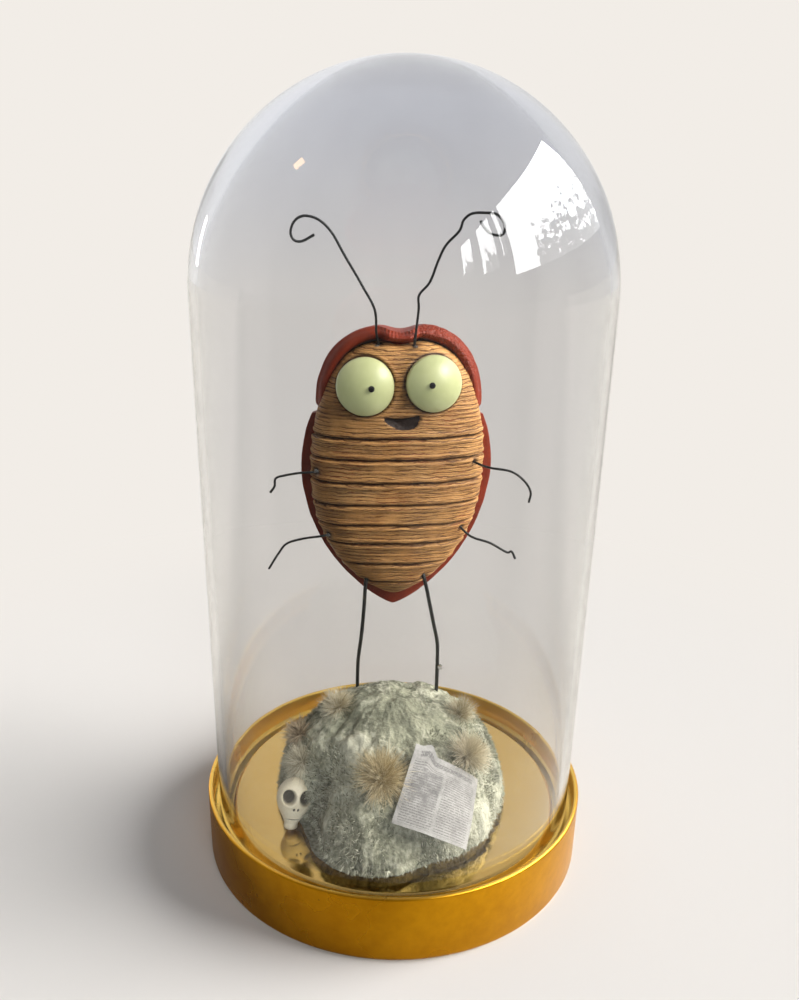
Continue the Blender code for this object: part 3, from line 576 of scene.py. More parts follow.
crust, tree, shader = new_material("grey_green_crust", Roughness=0.93, Specular_IOR_Level=0.25)
place = object_place(tree)
powder = add_mottle(tree, place, 160, 1100, *CRUST_TONES)
combed = add_node(tree, "Mapping", {"Vector": place, "Scale": (1000, 1000, 300)}).outputs["Vector"]
strands = add_node(tree, "TexNoise", {"Vector": combed, "Scale": 1.0, "Detail": 3.0}).outputs["Fac"]
# Paler where the crust is pale and where light is painted on it, darker where shade is painted on it.
pale_and_lit = ramp(tree, maths(tree, "ADD", marked(tree, "pale"), strands), 0.72, 1.25)
tree.links.new(blend(tree, pale_and_lit, powder["Color"], CRUST_PALE_AND_LIT), shader.inputs["Base Color"])
add_bump(tree, shader, maths(tree, "ADD", powder["Height"], strands), 0.6 * MM, 0.9)
rock.data.materials.append(crust)
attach(rock, "root")
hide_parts("mound")

# The granules of the crust: thousands of pale and grey green slivers stuck in the glue at all angles, longer
# along the hem.
SLIVER_COUNT, SLIVER_SUNK, SLIVER_SHADES = 19500, 1.4 * MM, (0.05, 0.45, 1.1, 2.1)
SLIVER_COLOURS = (0.08, 0.085, 0.058), (0.35, 0.365, 0.265), (0.70, 0.70, 0.565)
BLADE_SIDES = 3
random.seed(11)


def rock_frame(share, angle):
    """A point of the rock with its outward normal."""
    step = 0.02
    along = rock_point(share + step, angle) - rock_point(share - step, angle)
    across = rock_point(share, angle + step) - rock_point(share, angle - step)
    return rock_point(share, angle), along.cross(across).normalized()


def planted_blades(name, plans, segments, finish):
    """Joined thin blades. A plan is a root, a tip, a bend, a thickness and a shade from 0 to 1."""
    corners, faces, shades, lengths = [], [], [], []
    for root, tip, bend, thickness, shade in plans:
        along = (tip - root).normalized()
        right = along.orthogonal().normalized()
        left = along.cross(right)
        first = len(corners)
        for level in range(segments):
            share = level / segments
            middle = root.lerp(tip, share) + bend * share * share
            size = thickness / 2 * (1 - 0.75 * share)
            for side in range(BLADE_SIDES):
                turn = math.tau * side / BLADE_SIDES
                corners.append(middle + (right * math.cos(turn) + left * math.sin(turn)) * size)
            lengths += [share] * BLADE_SIDES
        corners.append(tip + bend)
        lengths.append(1.0)
        shades += [shade] * (len(corners) - first)
        last = first + (segments - 1) * BLADE_SIDES
        for side in range(BLADE_SIDES):
            other = (side + 1) % BLADE_SIDES
            for low in range(first, last, BLADE_SIDES):
                high = low + BLADE_SIDES
                faces.append((low + side, low + other, high + other, high + side))
            faces.append((last + side, last + other, len(corners) - 1))
        faces.append(tuple(reversed(range(first, first + BLADE_SIDES))))
    mesh = bpy.data.meshes.new(name)
    mesh.from_pydata(corners, [], faces)
    mark(mesh, "shade", shades)
    mark(mesh, "along", lengths)
    mesh.materials.append(finish)
    piece = bpy.data.objects.new(name, mesh)
    bpy.context.scene.collection.objects.link(piece)
    return piece


def random_lean():
    return Vector((random.uniform(-1, 1), random.uniform(-1, 1), random.uniform(-1, 1)))


def blade_material(name, colours, **values):
    """Goes from the first colour at a blade's root to the second at its tip, with some blades paler."""
    made, tree, shader = new_material(name, **values)
    root_colour, tip_colour, pale_colour = colours
    along = blend(tree, marked(tree, "along"), root_colour, tip_colour)
    tree.links.new(blend(tree, marked(tree, "shade"), along, pale_colour), shader.inputs["Base Color"])
    return made


granules = blade_material("crust_granules", SLIVER_COLOURS, Roughness=0.9, Specular_IOR_Level=0.25)
plans = []
for count in range(SLIVER_COUNT):
    share = 1.12 * random.random() ** 0.62
    angle = random.uniform(0, math.tau)
    root, normal = rock_frame(share, angle)
    hem = hump(share, 1.04, 0.12)
    nook = NOOK_DEPTH * swell(angle, NOOK_BEARING, NOOK_WIDTH) * smooth_step(share, 0.35, 0.7)
    length = random.uniform(0.8, 1.9) * (1 + 0.3 * hem) * MM
    lean = (normal + 0.9 * random_lean() + Vector((0, 0, 0.35 - 0.9 * hem))).normalized()
    # The slivers take the crust's pale patches and its painted light and shade.
    shade = max(0.0, min(1.0, pale_and_lit_share(root) * random.choice(SLIVER_SHADES)))
    root -= normal * (SLIVER_SUNK + nook)
    plans.append((root, root + lean * length, Vector(), random.uniform(0.2, 0.36) * MM, shade))
slivers = planted_blades("crust_slivers", plans, 2, granules)
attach(slivers, "root")

# The six tufts: model-maker's static grass, a burst of stiff dry fibres on a dab of glue. Each has its share of
# the way down the rock, its bearing, its spread and height in millimetres, its fibres and their colours.
STRAW = (0.22, 0.16, 0.08), (0.56, 0.50, 0.34), (0.82, 0.77, 0.60)
TUFTS = (
    (0.30, 178, 4.8, 5.6, 760, STRAW),
    (0.56, 186, 4.2, 5.2, 700, ((0.07, 0.04, 0.02), (0.34, 0.26, 0.16), (0.62, 0.52, 0.36))),
    (0.64, 207, 4.8, 5.2, 900, ((0.10, 0.085, 0.05), (0.42, 0.39, 0.28), (0.72, 0.68, 0.54))),
    (0.51, 265, 7.2, 6.0, 1700, ((0.24, 0.17, 0.07), (0.47, 0.38, 0.20), (0.82, 0.73, 0.50))),
    (0.51, 325, 5.8, 5.5, 1300, ((0.40, 0.32, 0.19), (0.62, 0.55, 0.38), (0.86, 0.81, 0.64))),
    (0.36, 3, 4.4, 5.0, 760, STRAW),
)
WIDEST_TILT, TUFT_FOOT, FIBRE_RUFFLE = math.radians(84), 0.26, 0.35

random.seed(23)
for number, (share, bearing, spread, height, fibre_count, colours) in enumerate(TUFTS, 1):
    root, normal = rock_frame(share, math.radians(bearing))
    turn = normal.to_track_quat("Z", "Y").to_matrix()
    plans = []
    for count in range(fibre_count):
        tilt = WIDEST_TILT * random.random() ** 0.7
        around = random.uniform(0, math.tau)
        aim = Vector((math.sin(tilt) * math.cos(around), math.sin(tilt) * math.sin(around), math.cos(tilt)))
        reach = math.hypot(spread * math.sin(tilt), height * math.cos(tilt)) * random.uniform(0.85, 1.5) * MM
        aim = (aim + FIBRE_RUFFLE * random_lean()).normalized()
        foot = TUFT_FOOT * spread * random_lean()
        start = root + turn @ Vector((foot.x, foot.y, 0.1)) * MM
        end = start + turn @ aim * reach
        bend = turn @ Vector((aim.x, aim.y, -0.5)) * reach * random.uniform(-0.04, 0.1)
        plans.append((start, end, bend, random.uniform(0.12, 0.22) * MM, random.random() ** 1.4))
    dry_grass = blade_material(f"dry_grass_{number}", colours, Roughness=0.75)
    tuft = planted_blades(f"dry_tuft_{number}", plans, 4, dry_grass)
    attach(tuft, "root")
    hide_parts(f"grass_tuft_{number}")

# The skull bead: a small bead of dyed stone, cut as a pear shaped skull, that leans back against the rock. Its
# holes are given in millimetres: how far aside, how high, half their width and half their height.
SKULL_HEIGHT, SKULL_HALF_WIDTH, SKULL_WIDEST, SKULL_THROAT, CHIN_SHARE = 16.2 * MM, 5.5 * MM, 0.38, 0.86, 0.38
SOCKET, NOSTRIL, SLIT = (2.5, 10.9, 1.95, 2.35), (0.6, 7.3, 0.36, 0.55), (0, 3.8, 1.9, 0.2)
SKULL_TONES, HOLE_SHADE_BROWN = ((0.93, 0.88, 0.70), (0.80, 0.71, 0.50)), (0.05, 0.045, 0.035)


def placed(spot, degrees):
    """Turns a piece by three angles and puts it at a spot given in millimetres."""
    turn = Euler([math.radians(angle) for angle in degrees]).to_matrix().to_4x4()
    return Matrix.Translation(Vector(spot) * MM) @ turn


def bow(share, power, root):
    """Half width of a rounded outline, 1 at its widest and 0 at its end, where share is 1."""
    return (1 - min(1.0, abs(share)) ** power) ** root


def from_holes(across, up):
    """How far a point of the face is from the middle of each hole: 1 at its edge."""
    return [
        math.hypot((abs(across) - aside) / half_width, (up - high) / half_height)
        for aside, high, half_width, half_height in (SOCKET, NOSTRIL, SLIT)
    ]


def skull_point(drop, angle):
    below = (drop - SKULL_WIDEST) / (SKULL_THROAT - SKULL_WIDEST)
    if below < 0:
        width = bow((SKULL_WIDEST - drop) / SKULL_WIDEST, 2, 0.5)
    else:
        width = CHIN_SHARE + (1 - CHIN_SHARE) * math.cos(min(1.0, below) * math.pi / 2) ** 1.2
    width *= min(1.0, ((1 - drop) / 0.06)) ** 0.4
    deep = 1.15 if math.sin(angle) > 0 else 0.85
    point = Vector((math.cos(angle), deep * math.sin(angle), 0)) * SKULL_HALF_WIDTH * width
    point.z = SKULL_HEIGHT * (1 - drop)
    if math.sin(angle) < 0:
        across, up = point.x / MM, point.z / MM
        socket, nostril, slit = from_holes(across, up)
        inward = 1.7 * (1 - smooth_step(socket, 0.72, 1.08)) + 0.5 * (1 - smooth_step(nostril, 0.6, 1.2))
        inward += 0.35 * (1 - smooth_step(slit, 0.5, 1.3)) - 0.22 * hump(socket, 1.25, 0.22)
        inward += 0.12 * max(0.0, math.cos(across * math.tau / 0.75)) * hump(up, SLIT[1], 1.0)
        point.y += inward * MM
    point.z += 0.06 * MM * noise.noise(point / (2 * MM))
    return SKULL_PLACE @ point


def skull_hole_shade(place):
    """How dark the stone is painted at a point, from 0 to 1: painted shade in its holes."""
    if place.y >= 0:
        return 0.0
    socket, nostril, slit = from_holes(place.x / MM, place.z / MM)
    return max(1 - smooth_step(min(socket, nostril), 0.7, 1.05), 0.7 * (1 - smooth_step(slit, 0.5, 1.6)))


SKULL_PLACE = placed((-31.0, -25.9, 19.0), (-18, 13, 15))
skull = moulded_ball("skull_bead_carved", 150, 130, skull_point)
# The holes of the face are painted dark brown as shade.
mark(skull.data, "hollow", [skull_hole_shade(SKULL_PLACE.inverted() @ corner.co) for corner in skull.data.vertices])
cream_stone, tree, shader = new_material("cream_stone", Roughness=0.42)
dye = add_mottle(tree, object_place(tree), 160, 1400, *SKULL_TONES)
tree.links.new(blend(tree, marked(tree, "hollow"), dye["Color"], HOLE_SHADE_BROWN), shader.inputs["Base Color"])
add_bump(tree, shader, dye["Height"], 0.08 * MM, 0.5)
skull.data.materials.append(cream_stone)
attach(skull, "root")
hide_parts("skull_bead")

# The newspaper: a scrap of thin paper printed in grey for a doll's house, curled, with a torn notch in its top
# edge, that lies loose on the front of the rock. Its print is plain bars and a plain tone block.
PAPER_WIDTH, PAPER_HEIGHT, PAPER_THICKNESS = 22.5 * MM, 23.5 * MM, 0.16 * MM
PAPER_BEND_RADIUS, PAPER_BEND_SLANT = 32 * MM, math.radians(116)
PAPER_PLACE = placed((13.6, -37.4, 41.2), (-50, 26, 2))
PAPER_TONES, INK = ((0.45, 0.445, 0.427), (0.25, 0.247, 0.237)), (0.10, 0.097, 0.10)
ROW_COUNT, BAND_BLUR, INK_SHARE = 33, 0.004, 0.72

bpy.ops.object.select_all(action="DESELECT")
bpy.ops.mesh.primitive_grid_add(x_subdivisions=60, y_subdivisions=60, size=1)
paper = fresh("doll_newspaper")
cos, sin = math.cos(PAPER_BEND_SLANT), math.sin(PAPER_BEND_SLANT)
for corner in paper.data.vertices:
    right, up = corner.co.x, corner.co.y
    up -= (smooth_step(right, -0.28, -0.16) * 0.07 - 0.05 * hump(right, -0.3, 0.07)) * smooth_step(up, 0.1, 0.5)
    x, z = right * PAPER_WIDTH, up * PAPER_HEIGHT
    along, across = x * cos + z * sin, z * cos - x * sin
    turn = across / PAPER_BEND_RADIUS
    across, sag = PAPER_BEND_RADIUS * math.sin(turn), PAPER_BEND_RADIUS * (1 - math.cos(turn))
    sag += 0.35 * MM * noise.noise(Vector((right * 4, up * 4, 2)))
    sag += 0.06 * MM * noise.noise(Vector((right * 20, up * 20, 5)))
    corner.co = PAPER_PLACE @ Vector((along * cos - across * sin, sag, along * sin + across * cos))
apply_modifier(paper, "SOLIDIFY", thickness=PAPER_THICKNESS, offset=0)
bpy.ops.object.shade_smooth_by_angle(angle=math.radians(50))

printed_paper, tree, shader = new_material("printed_paper", Roughness=0.85)
page = add_node(tree, "UVMap").outputs["UV"]
right, up, out = parts_of(tree, page)
pulp = add_mottle(tree, object_place(tree), 220, 1500, *PAPER_TONES)


def band(value, low, high):
    """1 where a value lies between two bounds."""
    above = ramp(tree, value, low - BAND_BLUR, low + BAND_BLUR)
    return maths(tree, "MULTIPLY", above, ramp(tree, value, high + BAND_BLUR, high - BAND_BLUR))


def product(*values):
    total = values[0]
    for value in values[1:]:
        total = maths(tree, "MULTIPLY", total, value)
    return total


row_wave = maths(tree, "SINE", maths(tree, "MULTIPLY", up, ROW_COUNT * math.tau))
word_place = add_node(tree, "Mapping", {"Vector": page, "Scale": (46, 26, 1)}).outputs["Vector"]
words = add_node(tree, "TexNoise", {"Vector": word_place, "Scale": 1.6, "Detail": 2.0}).outputs["Fac"]
words = ramp(tree, words, 0.38, 0.52)
columns = maths(tree, "ADD", band(right, 0.05, 0.47), band(right, 0.51, 0.95))
text = product(ramp(tree, row_wave, -0.1, 0.35), words, columns, band(up, 0.04, 0.82))
heading = product(words, band(up, 0.86, 0.93), band(right, 0.1, 0.9))
tone = add_node(tree, "TexNoise", {"Vector": page, "Scale": 11.0, "Detail": 4.0}).outputs["Fac"]
block = product(ramp(tree, tone, 0.36, 0.66), band(right, 0.08, 0.46), band(up, 0.3, 0.74))
ink = maths(tree, "MAXIMUM", maths(tree, "MAXIMUM", text, heading), block)
ink = maths(tree, "MULTIPLY", ink, INK_SHARE)
tree.links.new(blend(tree, ink, pulp["Color"], INK), shader.inputs["Base Color"])
add_bump(tree, shader, pulp["Height"], 0.05 * MM, 0.6)
paper.data.materials.append(printed_paper)
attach(paper, "root")
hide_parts("newspaper")

# The figure's body: head and belly modelled as one piece of tan polymer clay, scored across like old wood with
# a needle, cut by eight deeper grooves and baked. Its grooves and scores are coloured dark brown, and painted
# shade darkens the crease round the eyes, the edge of the mouth and the pits of the wires. Eyes have a side, a
# radius, a place, a tilt and the pupil's place. Those, the mouth and the pits of the wires are in millimetres.
FIGURE = placed((-0.8, 0, 125), (0, 0.5, 5))
BODY_WIDEST_Z, BODY_TOP_Z, BODY_TAIL_Z = 3 * MM, 38 * MM, -37.3 * MM
BODY_HALF_WIDTH, BODY_FRONT, BODY_BACK, BODY_SLANT = 24.7 * MM, 9.5 * MM, 3 * MM, 0.02
HEAD_DIP, HEAD_DIP_WIDTH = 1.3 * MM, 3.5 * MM
GROOVES = [height * MM for height in (12.3, 6.3, -0.4, -6.9, -13, -18.8, -25.6, -32.1)]
GROOVE_HALF_WIDTH, GROOVE_DEPTH = 0.3 * MM, 1.3 * MM
EYES = (
    ("left", 7.9, (-9.8, -6.9, 26.5), (-4, -8), (2.1, 0.1)),
    ("right", 7.7, (8.6, -7.0, 27.5), (-5, 8), (-1.6, 0.1)),
)
MOUTH_MIDDLE, MOUTH_HALF_WIDTH, MOUTH_DROP, MOUTH_TILT = (0.1, 18.7), 4.7, 3.8, math.radians(-4)
WIRE_PITS = (
    ((-6.4, -3.5, 162.4), 1.0), ((3.3, -3.5, 162.4), 1.0), ((-23.6, -5.9, 126.8), 1.3),
    ((21.4, -3.8, 130.0), 0.9), ((-20.2, -5.6, 107.8), 1.2), ((18.2, -4.0, 110.2), 0.9),
    ((-9.2, -4.2, 93.4), 1.1), ((7.9, -3.8, 94.0), 1.1),
)
TAN_TONES, GROOVE_AND_SHADE_BROWN = ((0.82, 0.455, 0.165), (0.64, 0.31, 0.095)), (0.035, 0.012, 0.006)
WAVE_PERIOD, STAIN_SHARE = 0.3142, 0.8
STAIN_BROWN, STAIN_RED = (0.12, 0.042, 0.013), (0.24, 0.05, 0.014)


def section(half_width, front, back, angle, power=2.3):
    """A point on a rounded cross-section: x across, y to the back."""
    across = math.copysign(abs(math.cos(angle)) ** (2 / power), math.cos(angle))
    depth = math.copysign(abs(math.sin(angle)) ** (2 / power), math.sin(angle))
    return half_width * across, depth * (back if depth > 0 else front)


def mouth_drop(share):
    """How far the lower lip hangs, along the smile: its right end is blunt and its left end runs out thin."""
    return (1 - share**4) ** 0.5 * (0.5 + 0.5 * smooth_step(share, -1.1, 0.1))


def mouth_edge(x, z):
    """Millimetres from a point of the face, in the figure's own frame, into the outline of the smile."""
    right, up = x / MM - MOUTH_MIDDLE[0], z / MM - MOUTH_MIDDLE[1]
    cos, sin = math.cos(MOUTH_TILT), math.sin(MOUTH_TILT)
    right, up = right * cos - up * sin, up * cos + right * sin
    share = max(-1.0, min(1.0, right / MOUTH_HALF_WIDTH))
    top, bottom = -0.5 * (1 - share * share), -MOUTH_DROP * mouth_drop(share)
    return min(top - up, up - bottom, (1 - abs(share)) * MOUTH_HALF_WIDTH)


def eye_place(middle, tilt):
    return placed(middle, (90 + tilt[0], 0, tilt[1]))


def scored(x, z):
    """Depth of the needle scores at a point of the front, from 0 to 1: wavy lines that run across."""
    drift = 0.55 * noise.noise(Vector((x / (9 * MM), z / (5 * MM), 3))) * MM
    wide = noise.noise(Vector((x / (15 * MM), (z + drift) / (0.95 * MM), 7)))
    fine = noise.noise(Vector((x / (8 * MM), (z + drift) / (0.42 * MM), 1)))
    strength = 0.65 + 0.6 * noise.noise(Vector((x / (7 * MM), z / (3 * MM), 12)))
    return (max(0.0, 1 - abs(wide) / 0.16) + 0.45 * max(0.0, 1 - abs(fine) / 0.2)) * strength


eye_frames = [(radius, eye_place(middle, tilt).inverted()) for side, radius, middle, tilt, pupil in EYES]
pit_places = [(FIGURE.inverted() @ (Vector(place) * MM), size * MM) for place, size in WIRE_PITS]
groove_and_shade_marks = []


def body_point(share, angle):
    """A point of the body after its grooves, scores, face and pits; its darkness goes to
    groove_and_shade_marks.
    """
    z = BODY_TOP_Z - (BODY_TOP_Z - BODY_TAIL_Z) * (0.45 * share + 0.55 * (1 - math.cos(math.pi * share)) / 2)
    above = z > BODY_WIDEST_Z
    high = (z - BODY_WIDEST_Z) / (BODY_TOP_Z - BODY_WIDEST_Z if above else BODY_WIDEST_Z - BODY_TAIL_Z)
    width = bow(high, 2, 0.34) if above else bow(high, 2.4, 0.72)
    x, y = section(BODY_HALF_WIDTH * width, BODY_FRONT * width**0.7, BODY_BACK * width**0.5, angle)
    wave = 0.35 * noise.noise(Vector((x / (8 * MM), 20, z / (30 * MM)))) * MM
    nearest = min(abs(z + wave - groove) for groove in GROOVES)
    groove = hump(nearest, 0, GROOVE_HALF_WIDTH)
    lip = 0.3 * hump(nearest, 1.1 * MM, 0.7 * MM) if z < GROOVES[0] + 2 * MM else 0.0
    score = scored(x, z) * (1 - groove)
    plain = Vector((x, y, z))
    rough = 0.16 * noise.noise(plain / (4 * MM)) + 0.05 * noise.noise(plain / (0.9 * MM))
    inward = groove * GROOVE_DEPTH + (0.2 * score - lip - rough) * MM * min(1.0, width * 2)
    dip = HEAD_DIP * hump(x, 0, HEAD_DIP_WIDTH) * max(0.0, high) ** 8
    out = Vector((math.cos(angle) * 0.6, math.sin(angle), 0)).normalized() if width > 0 else Vector()
    point = Vector((x, y, z + BODY_SLANT * x - dip)) - out * min(inward, 0.8 * math.hypot(x, y))
    dark = max(groove, min(1.0, 0.45 * score))
    if point.y < 0:
        for radius, frame_of_eye in eye_frames:
            seen = frame_of_eye @ point
            off = seen.xy.length / MM - radius
            if off < 2:
                point.y += (1 - smooth_step(off, -0.1, 0.3)) * max(0.0, seen.z + 0.3 * MM)
                point.y -= 0.28 * MM * hump(off, 0.8, 0.45)
                # Painted shade in the crease round the eye.
                dark = max(dark, hump(off, 0.05, 0.4))
        into = mouth_edge(point.x, point.z)
        if into > -0.5:
            point.y += 1.35 * MM * smooth_step(into, -0.15, 0.45)
            # Painted shade at the edge of the mouth.
            dark = max(dark, 0.9 * smooth_step(into, -0.25, 0.15))
        for middle, size in pit_places:
            off = (point - middle).length / size
            if off < 2.5:
                hollow = hump(off, 0, 1)
                point += Vector((-0.3 * math.copysign(1, middle.x), 1, 0)) * 0.8 * size * hollow
                # Painted shade in the pit of a wire.
                dark = max(dark, min(1.0, 1.3 * hollow))
    groove_and_shade_marks.append(dark)
    return FIGURE @ point


body = moulded_ball("clay_body", 236, 420, body_point)
mark(body.data, "dark", groove_and_shade_marks)

tan_clay, tree, shader = new_material("tan_clay", Roughness=0.5, Specular_IOR_Level=0.35)
place = object_place(tree)
clay = add_mottle(tree, place, 110, 1300, *TAN_TONES)


def needle_lines(waver_length, pitch, waver, width):
    """Wavy lines that run across: 1 on a line and 0 off it. Width is a share of the wave's height.

    The lines of a wave texture lie WAVE_PERIOD apart at a scale of 1.
    """
    scale = (1 / waver_length, 1 / waver_length, WAVE_PERIOD / pitch)
    drawn = add_node(tree, "Mapping", {"Vector": place, "Scale": scale}).outputs["Vector"]
    values = {"Vector": drawn, "Scale": 1.0, "Distortion": waver, "Detail": 3.0, "Detail Scale": 1.2}
    values["Detail Roughness"] = 0.6
    wave = add_node(tree, "TexWave", values, bands_direction="Z")
    return ramp(tree, wave.outputs["Fac"], width, 0.3 * width)


deep = needle_lines(7 * MM, 1.15 * MM, 5.0, 0.2)
fine = needle_lines(4 * MM, 0.6 * MM, 6.0, 0.26)
pressure = add_node(tree, "TexNoise", {"Vector": place, "Scale": 130.0, "Detail": 2.0}).outputs["Fac"]
lines = maths(tree, "MAXIMUM", deep, maths(tree, "MULTIPLY", fine, 0.55))
lines = maths(tree, "MULTIPLY", lines, ramp(tree, pressure, 0.27, 0.5))
redder = add_node(tree, "TexNoise", {"Vector": place, "Scale": 90.0}).outputs["Fac"]
stain = blend(tree, ramp(tree, redder, 0.5, 0.62), STAIN_BROWN, STAIN_RED)
stained = blend(tree, maths(tree, "MULTIPLY", lines, STAIN_SHARE), clay["Color"], stain)
# Dark brown in the grooves and scores, and painted shade round the eyes, at the mouth and in the pits.
tree.links.new(blend(tree, marked(tree, "dark"), stained, GROOVE_AND_SHADE_BROWN), shader.inputs["Base Color"])
add_bump(tree, shader, maths(tree, "MULTIPLY_ADD", lines, -1.5, clay["Height"]), 0.16 * MM, 0.9)
body.data.materials.append(tan_clay)
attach(body, "root")
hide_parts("body")

# The hood: red brown clay rolled out and laid round the head from behind. Between the antennae it folds forward
# in a short tongue with needle marks, and its right half is stippled.
HOOD_WIDEST_Z, HOOD_TOP_Z, HOOD_FOOT_Z = 21 * MM, 42.3 * MM, 17.5 * MM
HOOD_HALF_WIDTH, HOOD_FRONT, HOOD_BACK, HOOD_MIDDLE_Y = 23.3 * MM, 2.5 * MM, 8.5 * MM, 0.5 * MM
HOOD_SLANT, HOOD_DIP, HOOD_DIP_WIDTH, HOOD_ROLL, HOOD_GAP = 0.03, 1.6 * MM, 4 * MM, 1.3 * MM, 2 * MM
TONGUE_MIDDLE, TONGUE_HALF_WIDTH = -0.6 * MM, 4.6 * MM
RED_TONES, GAP_SHADE_BROWN = ((0.33, 0.044, 0.015), (0.19, 0.024, 0.009)), (0.03, 0.006, 0.003)


def hood_inset(x, z):
    """How far a point of the hood's face lies inside its outline."""
    rise = HOOD_TOP_Z - HOOD_WIDEST_Z
    side, high = min(1.0, abs(x) / HOOD_HALF_WIDTH), max(0.0, (z - HOOD_WIDEST_Z) / rise)
    outline_z = HOOD_WIDEST_Z + rise * (1 - side ** (1 / 0.35)) ** (1 / 1.95)
    beside = max(0.0, HOOD_HALF_WIDTH * bow(high, 1.95, 0.35) - abs(x))
    above = max(0.0, outline_z - z)
    return beside * above / max(math.hypot(beside, above), 0.01 * MM)


def hood_point(share, angle):
    z = (HOOD_TOP_Z + HOOD_FOOT_Z) / 2 + (HOOD_TOP_Z - HOOD_FOOT_Z) / 2 * math.cos(math.pi * share)
    upper = z > HOOD_WIDEST_Z
    high = (z - HOOD_WIDEST_Z) / (HOOD_TOP_Z - HOOD_WIDEST_Z if upper else HOOD_WIDEST_Z - HOOD_FOOT_Z)
    width = bow(high, 1.95, 0.35) if upper else bow(high, 2.5, 0.2)
    x, y = section(HOOD_HALF_WIDTH * width, HOOD_FRONT * width**0.6, HOOD_BACK * width**0.7, angle)
    dip = HOOD_DIP * hump(x, 0, HOOD_DIP_WIDTH) * max(0.0, high) ** 6
    point = Vector((x, y + HOOD_MIDDLE_Y, z + HOOD_SLANT * x * max(0.0, high) - dip))
    if math.sin(angle) < 0:
        inset = hood_inset(x, z)
        point.y -= HOOD_ROLL * hump(inset, 1.9 * MM, 1.2 * MM) * smooth_step(inset, 0, 1.2 * MM)
        point.y += HOOD_GAP * smooth_step(inset, 2.9 * MM, 4.2 * MM)
    out = Vector((math.cos(angle), math.sin(angle) * 0.8, max(0.0, high) ** 3))
    stipple = smooth_step(x, 1 * MM, 7 * MM) * smooth_step(z, 24 * MM, 31 * MM)
    rough = 0.22 * noise.noise(point / (5 * MM)) + 0.12 * stipple * noise.noise(point / (0.8 * MM))
    across = (x - TONGUE_MIDDLE) / TONGUE_HALF_WIDTH
    tongue = (1 - smooth_step(abs(across), 0.55, 1.3)) * smooth_step(z, 35.5 * MM, 40 * MM)
    tongue *= smooth_step(-y, -4 * MM, 1 * MM)
    marks = 0.12 * tongue * math.cos(across * math.tau * 5 + 2 * noise.noise(point / (3 * MM)))
    point += out.normalized() * (rough + marks) * MM if out.length > 0 else Vector()
    return FIGURE @ (point + Vector((0, -2.6, -0.4)) * tongue * MM)


hood = moulded_ball("clay_hood", 260, 150, hood_point)
stippled, gap_shades = [], []
for corner in hood.data.vertices:
    local = FIGURE.inverted() @ corner.co
    stippled.append(smooth_step(local.x, 1 * MM, 6 * MM) * smooth_step(local.z, 26 * MM, 33 * MM))
    off_tongue = smooth_step(abs(local.x - TONGUE_MIDDLE) / TONGUE_HALF_WIDTH, 0.8, 1.2)
    in_front = 1.0 if local.y < HOOD_MIDDLE_Y else 0.0
    # Painted shade in the gap between the hood and the head.
    gap_shades.append(in_front * off_tongue * smooth_step(hood_inset(local.x, local.z), 2.6 * MM, 3.7 * MM))
mark(hood.data, "stippled", stippled)
mark(hood.data, "gap", gap_shades)

red_clay, tree, shader = new_material("red_brown_clay", Roughness=0.38, Specular_IOR_Level=0.3)
place = object_place(tree)
clay = add_mottle(tree, place, 130, 1500, *RED_TONES)
# The hood is painted dark brown as shade where it meets the head.
tree.links.new(blend(tree, marked(tree, "gap"), clay["Color"], GAP_SHADE_BROWN), shader.inputs["Base Color"])
grains = add_node(tree, "TexVoronoi", {"Vector": place, "Scale": 1500.0}).outputs["Distance"]
stipple = maths(tree, "MULTIPLY", grains, marked(tree, "stippled"))
add_bump(tree, shader, maths(tree, "MULTIPLY_ADD", stipple, -3.0, clay["Height"]), 0.12 * MM, 0.8)
hood.data.materials.append(red_clay)
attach(hood, "root")
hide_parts("pronotum")

# The wing cases: one lens of the same clay on the back of the belly, halved by a seam down its middle and
# lined lengthwise with a needle. Its edge stands out past the belly as a smooth rim.
CASES_WIDEST_Z, CASES_TOP_Z, CASES_RISE, CASES_TIP_Z = 2 * MM, 17.2 * MM, 33 * MM, -41.7 * MM
CASES_HALF_WIDTH, CASES_FRONT, CASES_BACK, CASES_MIDDLE_Y = 27.4 * MM, 1.4 * MM, 7 * MM, 1.6 * MM
CASES_SEAM, CASES_SEAM_WIDTH, CASES_VEIN, CASES_VEIN_STEP = 0.8 * MM, 1.1 * MM, 0.16 * MM, 2.6 * MM


def cases_point(share, angle):
    z = (CASES_TOP_Z + CASES_TIP_Z) / 2 + (CASES_TOP_Z - CASES_TIP_Z) / 2 * math.cos(math.pi * share)
    if share < 0.001:
        return FIGURE @ Vector((0, CASES_MIDDLE_Y, CASES_TOP_Z))
    high = (z - CASES_WIDEST_Z) / (CASES_RISE if z > CASES_WIDEST_Z else CASES_WIDEST_Z - CASES_TIP_Z)
    width = bow(high, 2, 0.5 if z > CASES_WIDEST_Z else 0.77)
    x, y = section(CASES_HALF_WIDTH * width, CASES_FRONT * width**0.4, CASES_BACK * width**0.7, angle)
    back = max(0.0, math.sin(angle))
    seam = CASES_SEAM * width * hump(x, 0, CASES_SEAM_WIDTH) * back**0.5
    vein = CASES_VEIN * back * math.cos(x / max(width, 0.2) / CASES_VEIN_STEP * math.tau)
    point = Vector((x, y + CASES_MIDDLE_Y - seam + vein * smooth_step(width, 0.1, 0.5), z))
    rough = 0.2 * noise.noise(point / (5 * MM)) + 0.04 * noise.noise(point / (1 * MM))
    return FIGURE @ (point + Vector((math.cos(angle), math.sin(angle), 0)) * rough * MM * min(1.0, width * 3))


cases = moulded_ball("clay_wing_cases", 280, 200, cases_point)
cases.data.materials.append(red_clay)
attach(cases, "root")
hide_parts("wing_cases")

